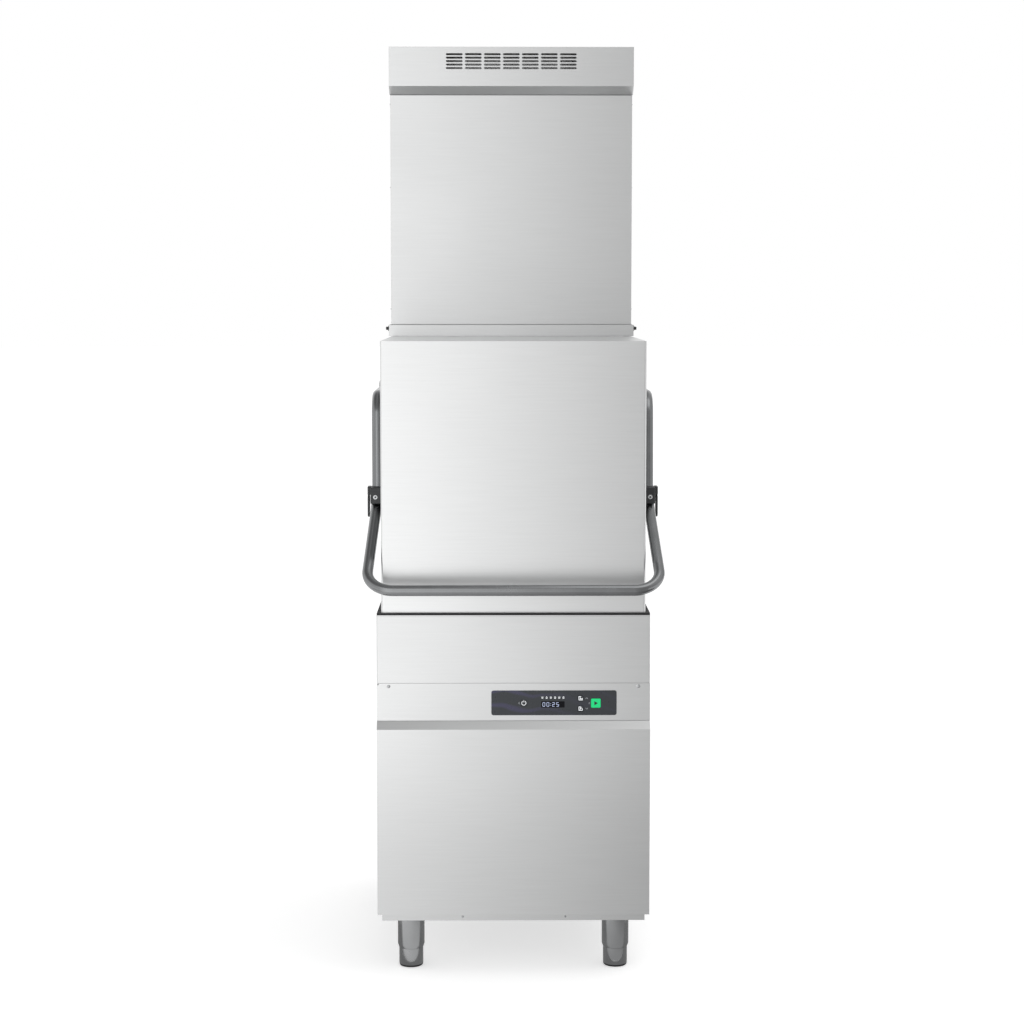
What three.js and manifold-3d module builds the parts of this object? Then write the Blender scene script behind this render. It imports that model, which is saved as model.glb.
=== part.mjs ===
// Hood-type commercial dishwasher with a heat-recovery tower.
// Millimetres, +Z up, +X to the right of someone standing in front, front faces -Y.
// y runs backwards from a line 7 mm in front of the control strip, and the whole group is centred at the end.

import * as THREE from 'three';
import { mergeGeometries, mergeVertices } from 'three/addons/utils/BufferGeometryUtils.js';
import Module from 'manifold-3d';

const wasm = await Module();
wasm.setup();

// ---------------------------------------------------------------- driving dimensions

const SHEET = 2; // casing sheet
const FIT = 0.3; // gap between pieces that touch

const HALF = 315; // half the width of the cabinet
const REAR = 820; // rear face of the cabinet and the tower
const PANEL_FRONT = -7; // lower front panel
const FACE = 7; // control strip and tank front

const FRAME_Z = 122; // underside of the base frame
const PANEL_Z = 143.5; // lower edge of the panels
const BEVEL_Z = 578.5; // where the lower front panel starts to slope back
const STRIP_Z = 596.5; // lower edge of the control strip
const CASING_Z = 684.5; // upper edge of the strip, lower edge of the tank casing
const RIM_Z = 842; // top of the tank deck

const HOOD = { half: 304.5, front: 17, rear: 600, bottom: 846, top: 1471, sheet: 1.5, corner: 5 };
const COLUMN = { half: 275, headHalf: 313, front: 606, headZ: 1471, top: 1500 };
const TOWER = { half: 307.5, front: 620, band: 590, bevelZ: 2082, bandZ: 2102, top: 2200 };

const PIVOT = { y: 650, z: 1335 }; // axis of the handle
const TUBE_R = 12.5; // handle tube
const TUBE_WALL = 2;
const HUB_X = 327; // middle of the hub at each arm's rear end
const ELBOW = { x: 325, y: 258, z: 1335 }; // corner of each rear arm
const JOINT = { x: 321, y: 190, z: 1093 }; // middle of each joint block
const GRIP = { x: 336.5, y: -60, z: 909 }; // front bar and its corners

const TANK = { half: 260, front: 60, rear: 560, floor: 640, sump: 590 };
const ARM_CENTRE_Y = (TANK.front + TANK.rear) / 2; // the spray arms' axis
const STANDPIPE = { x: 215, y: 105 };

const FOOT_X = 240.5;
const FOOT_FRONT_Y = 77;
const FOOT_REAR_Y = 743;

const DISPLAY = { x0: -51, x1: 238, z0: 609.5, z1: 667 };

const Y_CENTRE = (REAR + GRIP.y - TUBE_R) / 2;

// ---------------------------------------------------------------- materials

const metal = (colour, roughness = 0.35) =>
  new THREE.MeshStandardMaterial({ color: colour, roughness, metalness: 1 });
const plastic = (colour, roughness = 0.5) =>
  new THREE.MeshStandardMaterial({ color: colour, roughness, metalness: 0 });

const brushed = metal(0xc9cbcb);
const steel = metal(0xa9abac, 0.3);
const darkTube = metal(0x5d6063, 0.3);
const copper = metal(0xb5764a, 0.4);
const blackPlastic = plastic(0x17181a);
const blackRubber = plastic(0x111111, 0.8);
const greyPlastic = plastic(0x6f7377);
const greenPlastic = plastic(0x00dd7a, 0.4);
const slate = plastic(0x3b4048, 0.2);

// ---------------------------------------------------------------- geometry helpers

function toSolid(geometry) {
  const bare = geometry.clone();
  bare.deleteAttribute('normal');
  bare.deleteAttribute('uv');
  const merged = mergeVertices(bare, 1e-4);
  return new wasm.Manifold(new wasm.Mesh({
    numProp: 3,
    vertProperties: new Float32Array(merged.attributes.position.array),
    triVerts: new Uint32Array(merged.index.array),
  }));
}

function toGeometry(solid) {
  const mesh = solid.getMesh();
  const geometry = new THREE.BufferGeometry();
  geometry.setAttribute('position', new THREE.BufferAttribute(new Float32Array(mesh.vertProperties), 3));
  geometry.setIndex(new THREE.BufferAttribute(new Uint32Array(mesh.triVerts), 1));
  return geometry;
}

// joins the first list of geometries and cuts the second list out of them
function build(added, removed = []) {
  let solid = toSolid(added[0]);
  for (const geometry of added.slice(1)) {
    solid = solid.add(toSolid(geometry));
  }
  for (const geometry of removed) {
    solid = solid.subtract(toSolid(geometry));
  }
  return toGeometry(solid);
}

function block(x0, x1, y0, y1, z0, z1) {
  const geometry = new THREE.BoxGeometry(x1 - x0, y1 - y0, z1 - z0);
  geometry.translate((x0 + x1) / 2, (y0 + y1) / 2, (z0 + z1) / 2);
  return geometry;
}

function polygon(points) {
  return new THREE.Shape(points.map(([u, v]) => new THREE.Vector2(u, v)));
}

// rectangle with round corners, each of 3 chords
function roundedRectangle(u0, u1, v0, v1, radius) {
  const shape = new THREE.Shape();
  const arc = (u, v, start) => shape.absarc(u, v, radius, start, start + Math.PI / 2, false);
  arc(u1 - radius, v1 - radius, 0);
  arc(u0 + radius, v1 - radius, Math.PI / 2);
  arc(u0 + radius, v0 + radius, Math.PI);
  arc(u1 - radius, v0 + radius, 1.5 * Math.PI);
  shape.closePath();
  return shape;
}

// a shape drawn in (x, y), raised from z0 to z1
function raised(shape, z0, z1) {
  const options = { depth: z1 - z0, bevelEnabled: false, curveSegments: 3 };
  const geometry = new THREE.ExtrudeGeometry(shape, options);
  geometry.translate(0, 0, z0);
  return geometry;
}

// a section drawn in (y, z), drawn out from x0 to x1
function alongX(points, x0, x1) {
  const geometry = new THREE.ExtrudeGeometry(polygon(points), { depth: x1 - x0, bevelEnabled: false });
  geometry.applyMatrix4(new THREE.Matrix4().set(0, 0, 1, x0, 1, 0, 0, 0, 0, 1, 0, 0, 0, 0, 0, 1));
  return geometry;
}

// a profile of [radius, height] turned about the vertical line through (x, y)
function turned(profile, x = 0, y = 0, segments = 16) {
  const points = profile.map(([radius, height]) => new THREE.Vector2(radius, height));
  const geometry = new THREE.LatheGeometry(points, segments);
  geometry.rotateX(Math.PI / 2);
  geometry.translate(x, y, 0);
  return geometry;
}

function rod(radius, z0, z1, x, y, segments = 16) {
  return turned([[0, z0], [radius, z0], [radius, z1], [0, z1]], x, y, segments);
}

function rodAlongX(radius, x0, x1, y, z, segments = 16) {
  const geometry = rod(radius, x0, x1, 0, 0, segments);
  geometry.rotateY(Math.PI / 2);
  geometry.translate(0, y, z);
  return geometry;
}

function rodAlongY(radius, y0, y1, x, z, segments = 16) {
  const geometry = rod(radius, y0, y1, 0, 0, segments);
  geometry.rotateX(-Math.PI / 2);
  geometry.translate(x, 0, z);
  return geometry;
}

// straight runs between corner points, each corner rounded with the given radius
class BentPath extends THREE.Curve {
  constructor(points, radius, bendSteps = 6) {
    super();
    const corners = points.map((point) => new THREE.Vector3(...point));
    this.stations = [corners[0]];
    for (let i = 1; i < corners.length - 1; i += 1) {
      const inward = corners[i].clone().sub(corners[i - 1]).normalize();
      const outward = corners[i + 1].clone().sub(corners[i]).normalize();
      const turn = inward.angleTo(outward);
      const reach = radius * Math.tan(turn / 2);
      const towardCentre = outward.clone().addScaledVector(inward, -Math.cos(turn)).normalize();
      const start = corners[i].clone().addScaledVector(inward, -reach);
      for (let step = 0; step <= bendSteps; step += 1) {
        const angle = (turn * step) / bendSteps;
        this.stations.push(start.clone()
          .addScaledVector(inward, radius * Math.sin(angle))
          .addScaledVector(towardCentre, radius * (1 - Math.cos(angle))));
      }
    }
    this.stations.push(corners[corners.length - 1]);
  }

  get steps() {
    return this.stations.length - 1;
  }

  // a straight run takes one step however long it is, so steps aren't spaced by length
  getUtoTmapping(u) {
    return u;
  }

  getPoint(t, target = new THREE.Vector3()) {
    const place = Math.min(Math.max(t, 0), 1) * this.steps;
    const index = Math.min(Math.floor(place), this.steps - 1);
    return target.lerpVectors(this.stations[index], this.stations[index + 1], place - index);
  }
}

function circle(radius, sides) {
  const points = [];
  for (let i = 0; i < sides; i += 1) {
    const angle = (2 * Math.PI * i) / sides;
    points.push([radius * Math.cos(angle), radius * Math.sin(angle)]);
  }
  return polygon(points);
}

function swept(path, radius, sides = 10) {
  return new THREE.ExtrudeGeometry(circle(radius, sides), { steps: path.steps, extrudePath: path });
}

// a tube with open ends
function sweptTube(path, radius, wall, sides = 12) {
  const section = circle(radius, sides);
  section.holes.push(circle(radius - wall, sides));
  return new THREE.ExtrudeGeometry(section, { steps: path.steps, extrudePath: path });
}

// the point a given distance from one corner towards another
function towards(from, to, distance) {
  const a = new THREE.Vector3(from.x, from.y, from.z);
  const b = new THREE.Vector3(to.x, to.y, to.z);
  return a.addScaledVector(b.sub(a).normalize(), distance);
}

const machine = new THREE.Group();

function part(name, geometry, material) {
  const mesh = new THREE.Mesh(geometry, material);
  mesh.name = name;
  machine.add(mesh);
}

// ---------------------------------------------------------------- legs and base

function addLeg(corner, x, y) {
  const sleeveR = 31.5;
  const footR = 28.3;
  const studR = 12;
  const sleeveEnd = 45;
  part(`leg_sleeve_${corner}`, turned([
    [studR + 0.5, sleeveEnd + FIT],
    [footR + 0.5, sleeveEnd + FIT],
    [sleeveR, sleeveEnd + 8],
    [sleeveR, FRAME_Z - FIT],
    [studR + 0.5, FRAME_Z - FIT],
    [studR + 0.5, sleeveEnd + FIT],
  ], x, y), steel);
  part(`foot_${corner}`, turned([
    [0, 0],
    [footR - 5, 0],
    [footR - 1, 3],
    [footR, 6],
    [footR, sleeveEnd],
    [studR, sleeveEnd],
    [studR, FRAME_Z - 12],
    [0, FRAME_Z - 12],
  ], x, y), steel);
}

addLeg('front_left', -FOOT_X, FOOT_FRONT_Y);
addLeg('front_right', FOOT_X, FOOT_FRONT_Y);
addLeg('rear_left', -FOOT_X, FOOT_REAR_Y);
addLeg('rear_right', FOOT_X, FOOT_REAR_Y);

function baseFrame() {
  const half = 306;
  const front = 20;
  const rear = 800;
  const wall = 3;
  const top = PANEL_Z - FIT;
  return build(
    [block(-half, half, front, rear, FRAME_Z, top)],
    [block(-half + wall, half - wall, front + wall, rear - wall, FRAME_Z + wall, top + 1)],
  );
}

part('base_frame', baseFrame(), brushed);

// ---------------------------------------------------------------- cabinet panels

function lowerFrontPanel() {
  const back = FACE + 11;
  const section = [
    [PANEL_FRONT, PANEL_Z],
    [PANEL_FRONT, BEVEL_Z],
    [FACE, STRIP_Z - FIT],
    [back, STRIP_Z - FIT],
    [back, STRIP_Z - FIT - SHEET],
    [FACE + 1, STRIP_Z - FIT - SHEET],
    [PANEL_FRONT + SHEET, BEVEL_Z - 1],
    [PANEL_FRONT + SHEET, PANEL_Z + SHEET],
    [back, PANEL_Z + SHEET],
    [back, PANEL_Z],
  ];
  const side = [
    [PANEL_FRONT, PANEL_Z],
    [PANEL_FRONT, BEVEL_Z],
    [FACE, STRIP_Z - FIT],
    [back, STRIP_Z - FIT],
    [back, PANEL_Z],
  ];
  return build([
    alongX(section, -HALF, HALF),
    alongX(side, -HALF, -HALF + SHEET),
    alongX(side, HALF - SHEET, HALF),
  ]);
}

part('lower_front_panel', lowerFrontPanel(), brushed);

const PANEL_BACK = FACE + 11 + FIT; // where the side panels start

function sidePanel(side) {
  const flange = 22;
  const rear = REAR - SHEET - FIT;
  const edge = (x) => side * x;
  const outline = [
    [edge(HALF), PANEL_BACK],
    [edge(HALF), rear],
    [edge(HALF - flange), rear],
    [edge(HALF - flange), rear - SHEET],
    [edge(HALF - SHEET), rear - SHEET],
    [edge(HALF - SHEET), PANEL_BACK + SHEET],
    [edge(HALF - flange), PANEL_BACK + SHEET],
    [edge(HALF - flange), PANEL_BACK],
  ];
  return raised(polygon(outline), PANEL_Z, CASING_Z - FIT);
}

part('left_side_panel', sidePanel(-1), brushed);
part('right_side_panel', sidePanel(1), brushed);
part('rear_panel', block(-HALF, HALF, REAR - SHEET, REAR, PANEL_Z, CASING_Z - FIT), brushed);

function controlStrip() {
  const back = PANEL_BACK - FIT;
  const top = CASING_Z - FIT;
  const overlap = 3;
  const screwX = 288;
  const screwZ = 677;
  const notch = 4;
  return build(
    [block(-HALF, HALF, FACE, back, STRIP_Z, top)],
    [
      block(-HALF + SHEET, HALF - SHEET, FACE + SHEET, back + 1, STRIP_Z + SHEET, top - SHEET),
      block(DISPLAY.x0 + overlap, DISPLAY.x1 - overlap, FACE - 1, back + 1,
        DISPLAY.z0 + overlap, DISPLAY.z1 - overlap),
      rodAlongY(2.2, FACE - 1, back, -screwX, screwZ, 8),
      rodAlongY(2.2, FACE - 1, back, screwX, screwZ, 8),
      block(-HALF - 1, -HALF + notch, FACE - 1, back + 1, top - notch, top + 1),
    ],
  );
}

part('control_strip', controlStrip(), brushed);

// ---------------------------------------------------------------- display and its buttons

const BUTTONS = [
  { name: 'power_button', x: 24, z: 638, width: 14, height: 14, material: slate },
  { name: 'program_button_upper', x: 155, z: 649, width: 13, height: 13, material: slate },
  { name: 'program_button_lower', x: 155, z: 625, width: 13, height: 13, material: slate },
  { name: 'start_button', x: 190, z: 637.5, width: 22, height: 21, material: greenPlastic },
];
const DISPLAY_BACK = 24;
const DISPLAY_PROUD = 1.6;

// a rounded plate facing the front: x range, z range, from y0 back to y1
function frontPlate(x0, x1, z0, z1, y0, y1, radius) {
  const geometry = raised(roundedRectangle(x0, x1, -z1, -z0, radius), y0, y1);
  geometry.applyMatrix4(new THREE.Matrix4().set(1, 0, 0, 0, 0, 0, 1, 0, 0, -1, 0, 0, 0, 0, 0, 1));
  return geometry;
}

function buttonPlate(button, grow, y0, y1) {
  const { x, z, width, height } = button;
  const u = width / 2 + grow;
  const v = height / 2 + grow;
  return frontPlate(x - u, x + u, z - v, z + v, y0, y1, 2.5 + grow);
}

function displayPanel() {
  const rim = 3 + FIT;
  const front = FACE - DISPLAY_PROUD;
  const inside = 3;
  return build(
    [
      frontPlate(DISPLAY.x0, DISPLAY.x1, DISPLAY.z0, DISPLAY.z1, front, FACE - FIT, 5),
      block(DISPLAY.x0 + rim, DISPLAY.x1 - rim, FACE - 1, DISPLAY_BACK, DISPLAY.z0 + rim, DISPLAY.z1 - rim),
    ],
    [
      block(DISPLAY.x0 + rim + inside, DISPLAY.x1 - rim - inside, FACE + inside, DISPLAY_BACK + 1,
        DISPLAY.z0 + rim + inside, DISPLAY.z1 - rim - inside),
      ...BUTTONS.map((button) => buttonPlate(button, 0.4, front - 1, FACE + inside + 1)),
    ],
  );
}

part('display_panel', displayPanel(), slate);

for (const button of BUTTONS) {
  part(button.name, buttonPlate(button, 0, FACE - DISPLAY_PROUD - 0.3, FACE + 5), button.material);
}

// ---------------------------------------------------------------- tank

function upperCasing() {
  const outer = roundedRectangle(-HALF, HALF, FACE, REAR, 3);
  const inner = roundedRectangle(-HALF + SHEET, HALF - SHEET, FACE + SHEET, REAR - SHEET, 1);
  return build([raised(outer, CASING_Z, RIM_Z - SHEET - FIT)], [raised(inner, CASING_Z - 1, RIM_Z)]);
}

part('upper_casing', upperCasing(), brushed);

const RISER = { y: 584, r: 17, topZ: 1400 };
const MANIFOLD_R = 18;

function washTank() {
  const { half, front, rear, floor, sump } = TANK;
  const deckRear = COLUMN.front - 1;
  const wall = SHEET;
  const sumpHalf = 90;
  const sumpFront = ARM_CENTRE_Y - sumpHalf;
  const sumpRear = ARM_CENTRE_Y + sumpHalf;
  return build(
    [
      raised(roundedRectangle(-HALF, HALF, FACE, deckRear, 3), RIM_Z - SHEET, RIM_Z),
      raised(roundedRectangle(-half - wall, half + wall, front - wall, rear + wall, 22),
        floor - wall, RIM_Z - 1),
      block(-sumpHalf - wall, sumpHalf + wall, sumpFront - wall, sumpRear + wall, sump - wall, floor - 1),
    ],
    [
      raised(roundedRectangle(-half, half, front, rear, 20), floor, RIM_Z + 1),
      block(-sumpHalf, sumpHalf, sumpFront, sumpRear, sump, floor + 1),
      rod(MANIFOLD_R + 0.5, sump - wall - 1, sump + 1, 0, ARM_CENTRE_Y),
      rod(13, floor - wall - 1, floor + 1, STANDPIPE.x, STANDPIPE.y),
      rod(RISER.r + 0.5, RIM_Z - SHEET - 1, RIM_Z + 1, 0, RISER.y),
      rodAlongY(15, sumpRear - 1, sumpRear + wall + 1, 45, 612),
    ],
  );
}

part('wash_tank', washTank(), brushed);

function rimSeal() {
  const bottom = RIM_Z + FIT;
  const inner = HOOD.half + 0.8;
  const hoodFront = HOOD.front - 0.8;
  const rear = COLUMN.front - 2;
  const low = roundedRectangle(-HALF + 0.5, HALF - 0.5, FACE + 0.5, rear, 4);
  const ring = raised(low, bottom, bottom + 4);
  const gap = block(-inner, inner, hoodFront, rear + 1, bottom - 1, bottom + 8);
  return build([ring], [gap]);
}

part('rim_seal', rimSeal(), blackRubber);

function rackGuide() {
  const reach = 290;
  const bottom = 858;
  const lip = 34;
  const frontY = 48;
  const rearY = 562;
  const shelf = 26;
  const pieces = [
    block(-reach, reach, frontY, frontY + shelf, bottom, bottom + 2),
    block(-reach, reach, frontY, frontY + 2, bottom, bottom + lip),
    block(-reach, reach, rearY - shelf, rearY, bottom, bottom + 2),
    block(-reach, reach, rearY - 2, rearY, bottom, bottom + lip),
  ];
  for (const x of [-262, 262]) {
    pieces.push(block(x - 4, x + 4, frontY, rearY, bottom - 4, bottom + 1));
    for (const y of [frontY, rearY - 8]) {
      pieces.push(block(x - 4, x + 4, y, y + 8, RIM_Z + FIT, bottom));
    }
  }
  return build(pieces);
}

part('rack_guide', rackGuide(), steel);

function tankStrainer() {
  const bottom = 764;
  const cuts = [
    rod(40, bottom - 1, bottom + 20, 0, ARM_CENTRE_Y, 20),
    rod(24, bottom - 1, bottom + 20, STANDPIPE.x, STANDPIPE.y),
    block(-TANK.half + 8, TANK.half - 8, TANK.front + 8, TANK.rear - 8, bottom + 2, bottom + 20),
  ];
  const edge = roundedRectangle(-TANK.half + 1, TANK.half - 1, TANK.front + 1, TANK.rear - 1, 19);
  return build([raised(edge, bottom, bottom + 8)], cuts);
}

part('tank_strainer', tankStrainer(), steel);

part('standpipe', turned([
  [12.5, TANK.floor - SHEET],
  [12.5, TANK.floor + FIT],
  [18, TANK.floor + FIT],
  [18, TANK.floor + 8],
  [16, TANK.floor + 10],
  [16, 800],
  [13, 800],
  [10, TANK.floor - SHEET],
  [12.5, TANK.floor - SHEET],
], STANDPIPE.x, STANDPIPE.y, 16), steel);

function tankHeater() {
  const z = 660;
  const reach = TANK.half - 40;
  const loop = new BentPath([
    [-150, 520, z],
    [-reach, 520, z],
    [-reach, 120, z],
    [-110, 120, z],
    [-110, 480, z],
  ], 30, 4);
  return swept(loop, 5, 8);
}

part('tank_heater', tankHeater(), steel);

// ---------------------------------------------------------------- water paths and spray arms

const SPINDLE_R = 9;
const LOWER_ARM_Z = 800;
const UPPER_ARM_Z = 1340;

part('lower_manifold', turned([
  [0, 520],
  [MANIFOLD_R, 520],
  [MANIFOLD_R, LOWER_ARM_Z - 4],
  [SPINDLE_R, LOWER_ARM_Z - 4],
  [SPINDLE_R, LOWER_ARM_Z + 46],
  [0, LOWER_ARM_Z + 46],
], 0, ARM_CENTRE_Y), steel);

function riserPipe() {
  const path = new BentPath([
    [0, RISER.y, 535],
    [0, RISER.y, RISER.topZ],
    [0, ARM_CENTRE_Y, RISER.topZ],
  ], 45);
  return build([
    swept(path, RISER.r, 12),
    rod(RISER.r + 5, RISER.topZ - 22, RISER.topZ + 8, 0, ARM_CENTRE_Y),
    rod(SPINDLE_R, UPPER_ARM_Z - 6, RISER.topZ, 0, ARM_CENTRE_Y),
  ]);
}

part('riser_pipe', riserPipe(), steel);

// a wash arm: two flat tubes that taper outwards, on a round hub
function washArm(bottom) {
  const height = 18;
  const length = 238;
  const nozzleHalf = 8;
  const arm = raised(polygon([[-length, -14], [0, -25], [length, -14], [length, 14], [0, 25], [-length, 14]]),
    bottom + 2, bottom + height - 2);
  const hub = turned([[0, bottom], [30, bottom], [30, bottom + height], [0, bottom + height]], 0, 0, 20);
  const nozzles = [];
  for (const x of [-205, -150, -95, 95, 150, 205]) {
    nozzles.push(block(x - nozzleHalf, x + nozzleHalf, -3, 3, bottom + height - 4, bottom + height + 1.5));
  }
  const bore = rod(SPINDLE_R + 0.5, bottom - 1, bottom + height + 3, 0, 0);
  const geometry = build([arm, hub, ...nozzles], [bore]);
  geometry.translate(0, ARM_CENTRE_Y, 0);
  return geometry;
}

// a rinse arm: a thin round tube on a small hub
function rinseArm(bottom, angle) {
  const height = 14;
  const geometry = build(
    [
      rodAlongX(6, -225, 225, 0, bottom + height / 2, 10),
      rod(19, bottom, bottom + height, 0, 0),
    ],
    [rod(SPINDLE_R + 0.5, bottom - 1, bottom + height + 1, 0, 0)],
  );
  geometry.rotateZ(angle);
  geometry.translate(0, ARM_CENTRE_Y, 0);
  return geometry;
}

part('lower_wash_arm', washArm(LOWER_ARM_Z), brushed);
part('lower_rinse_arm', rinseArm(LOWER_ARM_Z + 25, 0.9), steel);
part('upper_wash_arm', washArm(UPPER_ARM_Z + 16), brushed);
part('upper_rinse_arm', rinseArm(UPPER_ARM_Z, -0.7), steel);

// ---------------------------------------------------------------- pump, boiler, electrics under the tank

const PUMP = { x: 0, y: 450, z: 440 };

function washPump() {
  const { x, y, z } = PUMP;
  return build([
    rodAlongY(72, y - 30, y + 30, x, z, 20),
    rodAlongY(24, y - 60, y - 20, x, z),
    block(x + 20, x + 62, y - 18, y + 18, z, z + 78),
    block(x - 60, x + 60, y - 20, y + 20, z - 90, z - 40),
  ]);
}

part('wash_pump', washPump(), greyPlastic);

function pumpMotor() {
  const { x, y, z } = PUMP;
  const front = y + 30 + FIT;
  const cooling = [];
  for (let i = 0; i < 12; i += 1) {
    const angle = (2 * Math.PI * i) / 12;
    const fin = block(-2, 2, front + 12, front + 150, 50, 64);
    fin.rotateY(angle);
    fin.translate(x, 0, z);
    cooling.push(fin);
  }
  return build([
    rodAlongY(56, front, front + 185, x, z, 20),
    block(x - 35, x + 35, front + 40, front + 110, z + 40, z + 82),
    ...cooling,
  ]);
}

part('wash_pump_motor', pumpMotor(), blackPlastic);

function suctionPipe() {
  const { x, y, z } = PUMP;
  const path = new BentPath([
    [-55, ARM_CENTRE_Y - 30, TANK.sump - SHEET - FIT],
    [-55, ARM_CENTRE_Y - 30, z],
    [x, ARM_CENTRE_Y - 30, z],
    [x, y - 60 - FIT, z],
  ], 24);
  return swept(path, 20, 10);
}

part('suction_pipe', suctionPipe(), blackRubber);

const BOILER = { x: -200, y: 330, z: 300, r: 88, half: 190 };

function boiler() {
  const { x, y, z, r, half } = BOILER;
  const wall = 2;
  const heaterHole = 20;
  const geometry = turned([
    [0, half],
    [r * 0.7, half - 8],
    [r, half - 36],
    [r, -half + 36],
    [r * 0.7, -half + 8],
    [heaterHole, -half],
    [heaterHole, -half + wall],
    [r * 0.7 - wall, -half + 8 + wall],
    [r - wall, -half + 36],
    [r - wall, half - 36],
    [r * 0.7 - wall, half - 8 - wall],
    [0, half - wall],
  ].reverse(), 0, 0, 20);
  geometry.rotateX(-Math.PI / 2);
  geometry.translate(x, y, z);
  const saddles = [-110, 110].map((shift) =>
    block(x - 60, x + 60, y + shift - 1, y + shift + 1, FRAME_Z + 3 + FIT, z - 40));
  return build([geometry, ...saddles], [rodAlongY(r - wall, y - half + 40, y + half - 40, x, z, 20)]);
}

part('boiler', boiler(), steel);

function boilerHeater() {
  const { x, y, z, half } = BOILER;
  const face = y - half - FIT;
  const terminals = [-14, 0, 14].map((shift) => rodAlongY(3, face - 34, face - 10, x + shift, z, 8));
  return build([
    rodAlongY(34, face - 12, face, x, z, 20),
    ...terminals,
  ]);
}

part('boiler_heater', boilerHeater(), copper);

part('electrical_box', build([
  block(120, 290, 40, 110, 190, 520),
  block(116, 294, 36, 44, 186, 524),
]), greyPlastic);

// ---------------------------------------------------------------- column with its collar

const SHAFT_R = 10;
const JOINT_GAP = 12; // between the ends of the two tubes inside each joint block

function columnCasing() {
  const { half, headHalf, front, headZ, top } = COLUMN;
  const bottom = RIM_Z + FIT;
  const rear = REAR;
  return build(
    [
      block(-half, half, front, rear, bottom, headZ + 5),
      block(-headHalf, headHalf, front, rear, headZ, top),
    ],
    [
      block(-half + SHEET, half - SHEET, front + SHEET, rear - SHEET, bottom - 1, top + 1),
      block(-headHalf + SHEET, headHalf - SHEET, front + SHEET, rear - SHEET, headZ + SHEET, top + 1),
      rodAlongX(SHAFT_R + 0.6, -half - 1, half + 1, PIVOT.y, PIVOT.z),
      block(-150, 150, front - 1, front + SHEET + 1, 1425, 1455),
    ],
  );
}

part('column_casing', columnCasing(), brushed);

// ---------------------------------------------------------------- hood, its guides and lift rails

const GUIDE = { x: 294, y: 624, r: 7, shoeZ0: 862, shoeZ1: 1030 };

function hoodShell() {
  const { half, front, rear, bottom, top, sheet, corner } = HOOD;
  const flange = 24;
  const outer = raised(roundedRectangle(-half, half, front, rear, corner), bottom, top);
  const lining = roundedRectangle(-half + sheet, half - sheet, front + sheet, rear - sheet, corner - sheet);
  const inner = raised(lining, bottom - 1, top - sheet);
  const back = block(-half + flange, half - flange, rear - corner, rear + 1, bottom - 1, top - 30);
  return build([outer], [inner, back]);
}

part('hood', hoodShell(), brushed);

for (const [side, sign] of [['left', -1], ['right', 1]]) {
  const x = sign * GUIDE.x;
  part(`${side}_guide_rod`, rod(GUIDE.r, RIM_Z + FIT + 0.3, COLUMN.headZ - FIT, x, GUIDE.y, 12), steel);
  part(`${side}_guide_shoe`, build(
    [block(x - 10, x + 10, HOOD.rear + FIT, GUIDE.y + 14, GUIDE.shoeZ0, GUIDE.shoeZ1)],
    [rod(GUIDE.r + 0.5, GUIDE.shoeZ0 - 1, GUIDE.shoeZ1 + 1, x, GUIDE.y, 12)],
  ), blackPlastic);
}

// the arms' roller pins push up under these rails; a pin travels back along the rail as the arm rises
const ROLLER = { x: 323.8, y: 236.6, z: 1259, r: 8 };

for (const [side, sign] of [['left', -1], ['right', 1]]) {
  const inner = HOOD.half + FIT;
  const outer = inner + 2.4;
  const x0 = Math.min(sign * inner, sign * outer);
  const x1 = Math.max(sign * inner, sign * outer);
  const bottom = ROLLER.z + ROLLER.r;
  part(`${side}_lift_rail`, block(x0, x1, ROLLER.y - 30, ROLLER.y + 230, bottom, bottom + 24), steel);
}

// ---------------------------------------------------------------- handle

function pivotShaft() {
  const crankX = 200;
  const crank = { y: PIVOT.y + 69, z: PIVOT.z + 40 };
  const angle = Math.atan2(crank.z - PIVOT.z, crank.y - PIVOT.y);
  const reach = Math.hypot(crank.z - PIVOT.z, crank.y - PIVOT.y);
  const cranks = [-1, 1].map((sign) => {
    const bar = block(-4, 4, -14, reach + 14, -14, 14);
    bar.rotateX(angle);
    bar.translate(sign * crankX, PIVOT.y, PIVOT.z);
    return bar;
  });
  const end = HUB_X + TUBE_R - 2;
  return build([rodAlongX(SHAFT_R, -end, end, PIVOT.y, PIVOT.z), ...cranks]);
}

part('pivot_shaft', pivotShaft(), steel);

function mirrored(point, sign) {
  return new THREE.Vector3(sign * point.x, point.y, point.z);
}

function handleArm(sign) {
  const hubR = 22;
  const hub = mirrored({ x: HUB_X, y: PIVOT.y - hubR + 4, z: PIVOT.z }, sign);
  const end = towards(JOINT, ELBOW, JOINT_GAP / 2);
  const path = new BentPath([hub, mirrored(ELBOW, sign), mirrored(end, sign)], 60);
  const hubX = sign * HUB_X;
  const pinEnd = sign * (HOOD.half + 3.4);
  const pinRoot = sign * (ROLLER.x - TUBE_R + 3);
  return build(
    [
      sweptTube(path, TUBE_R, TUBE_WALL),
      rodAlongX(hubR, hubX - TUBE_R, hubX + TUBE_R, PIVOT.y, PIVOT.z, 20),
      rodAlongX(ROLLER.r, Math.min(pinEnd, pinRoot), Math.max(pinEnd, pinRoot), ROLLER.y, ROLLER.z, 12),
    ],
    [rodAlongX(SHAFT_R + FIT, -HUB_X - TUBE_R - 1, HUB_X + TUBE_R + 1, PIVOT.y, PIVOT.z)],
  );
}

part('left_arm', handleArm(-1), darkTube);
part('right_arm', handleArm(1), darkTube);

function frontGrip() {
  const start = towards(JOINT, GRIP, JOINT_GAP / 2);
  const path = new BentPath([
    mirrored(start, -1),
    mirrored(GRIP, -1),
    mirrored(GRIP, 1),
    mirrored(start, 1),
  ], 60);
  return sweptTube(path, TUBE_R, TUBE_WALL);
}

part('front_grip', frontGrip(), darkTube);

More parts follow.
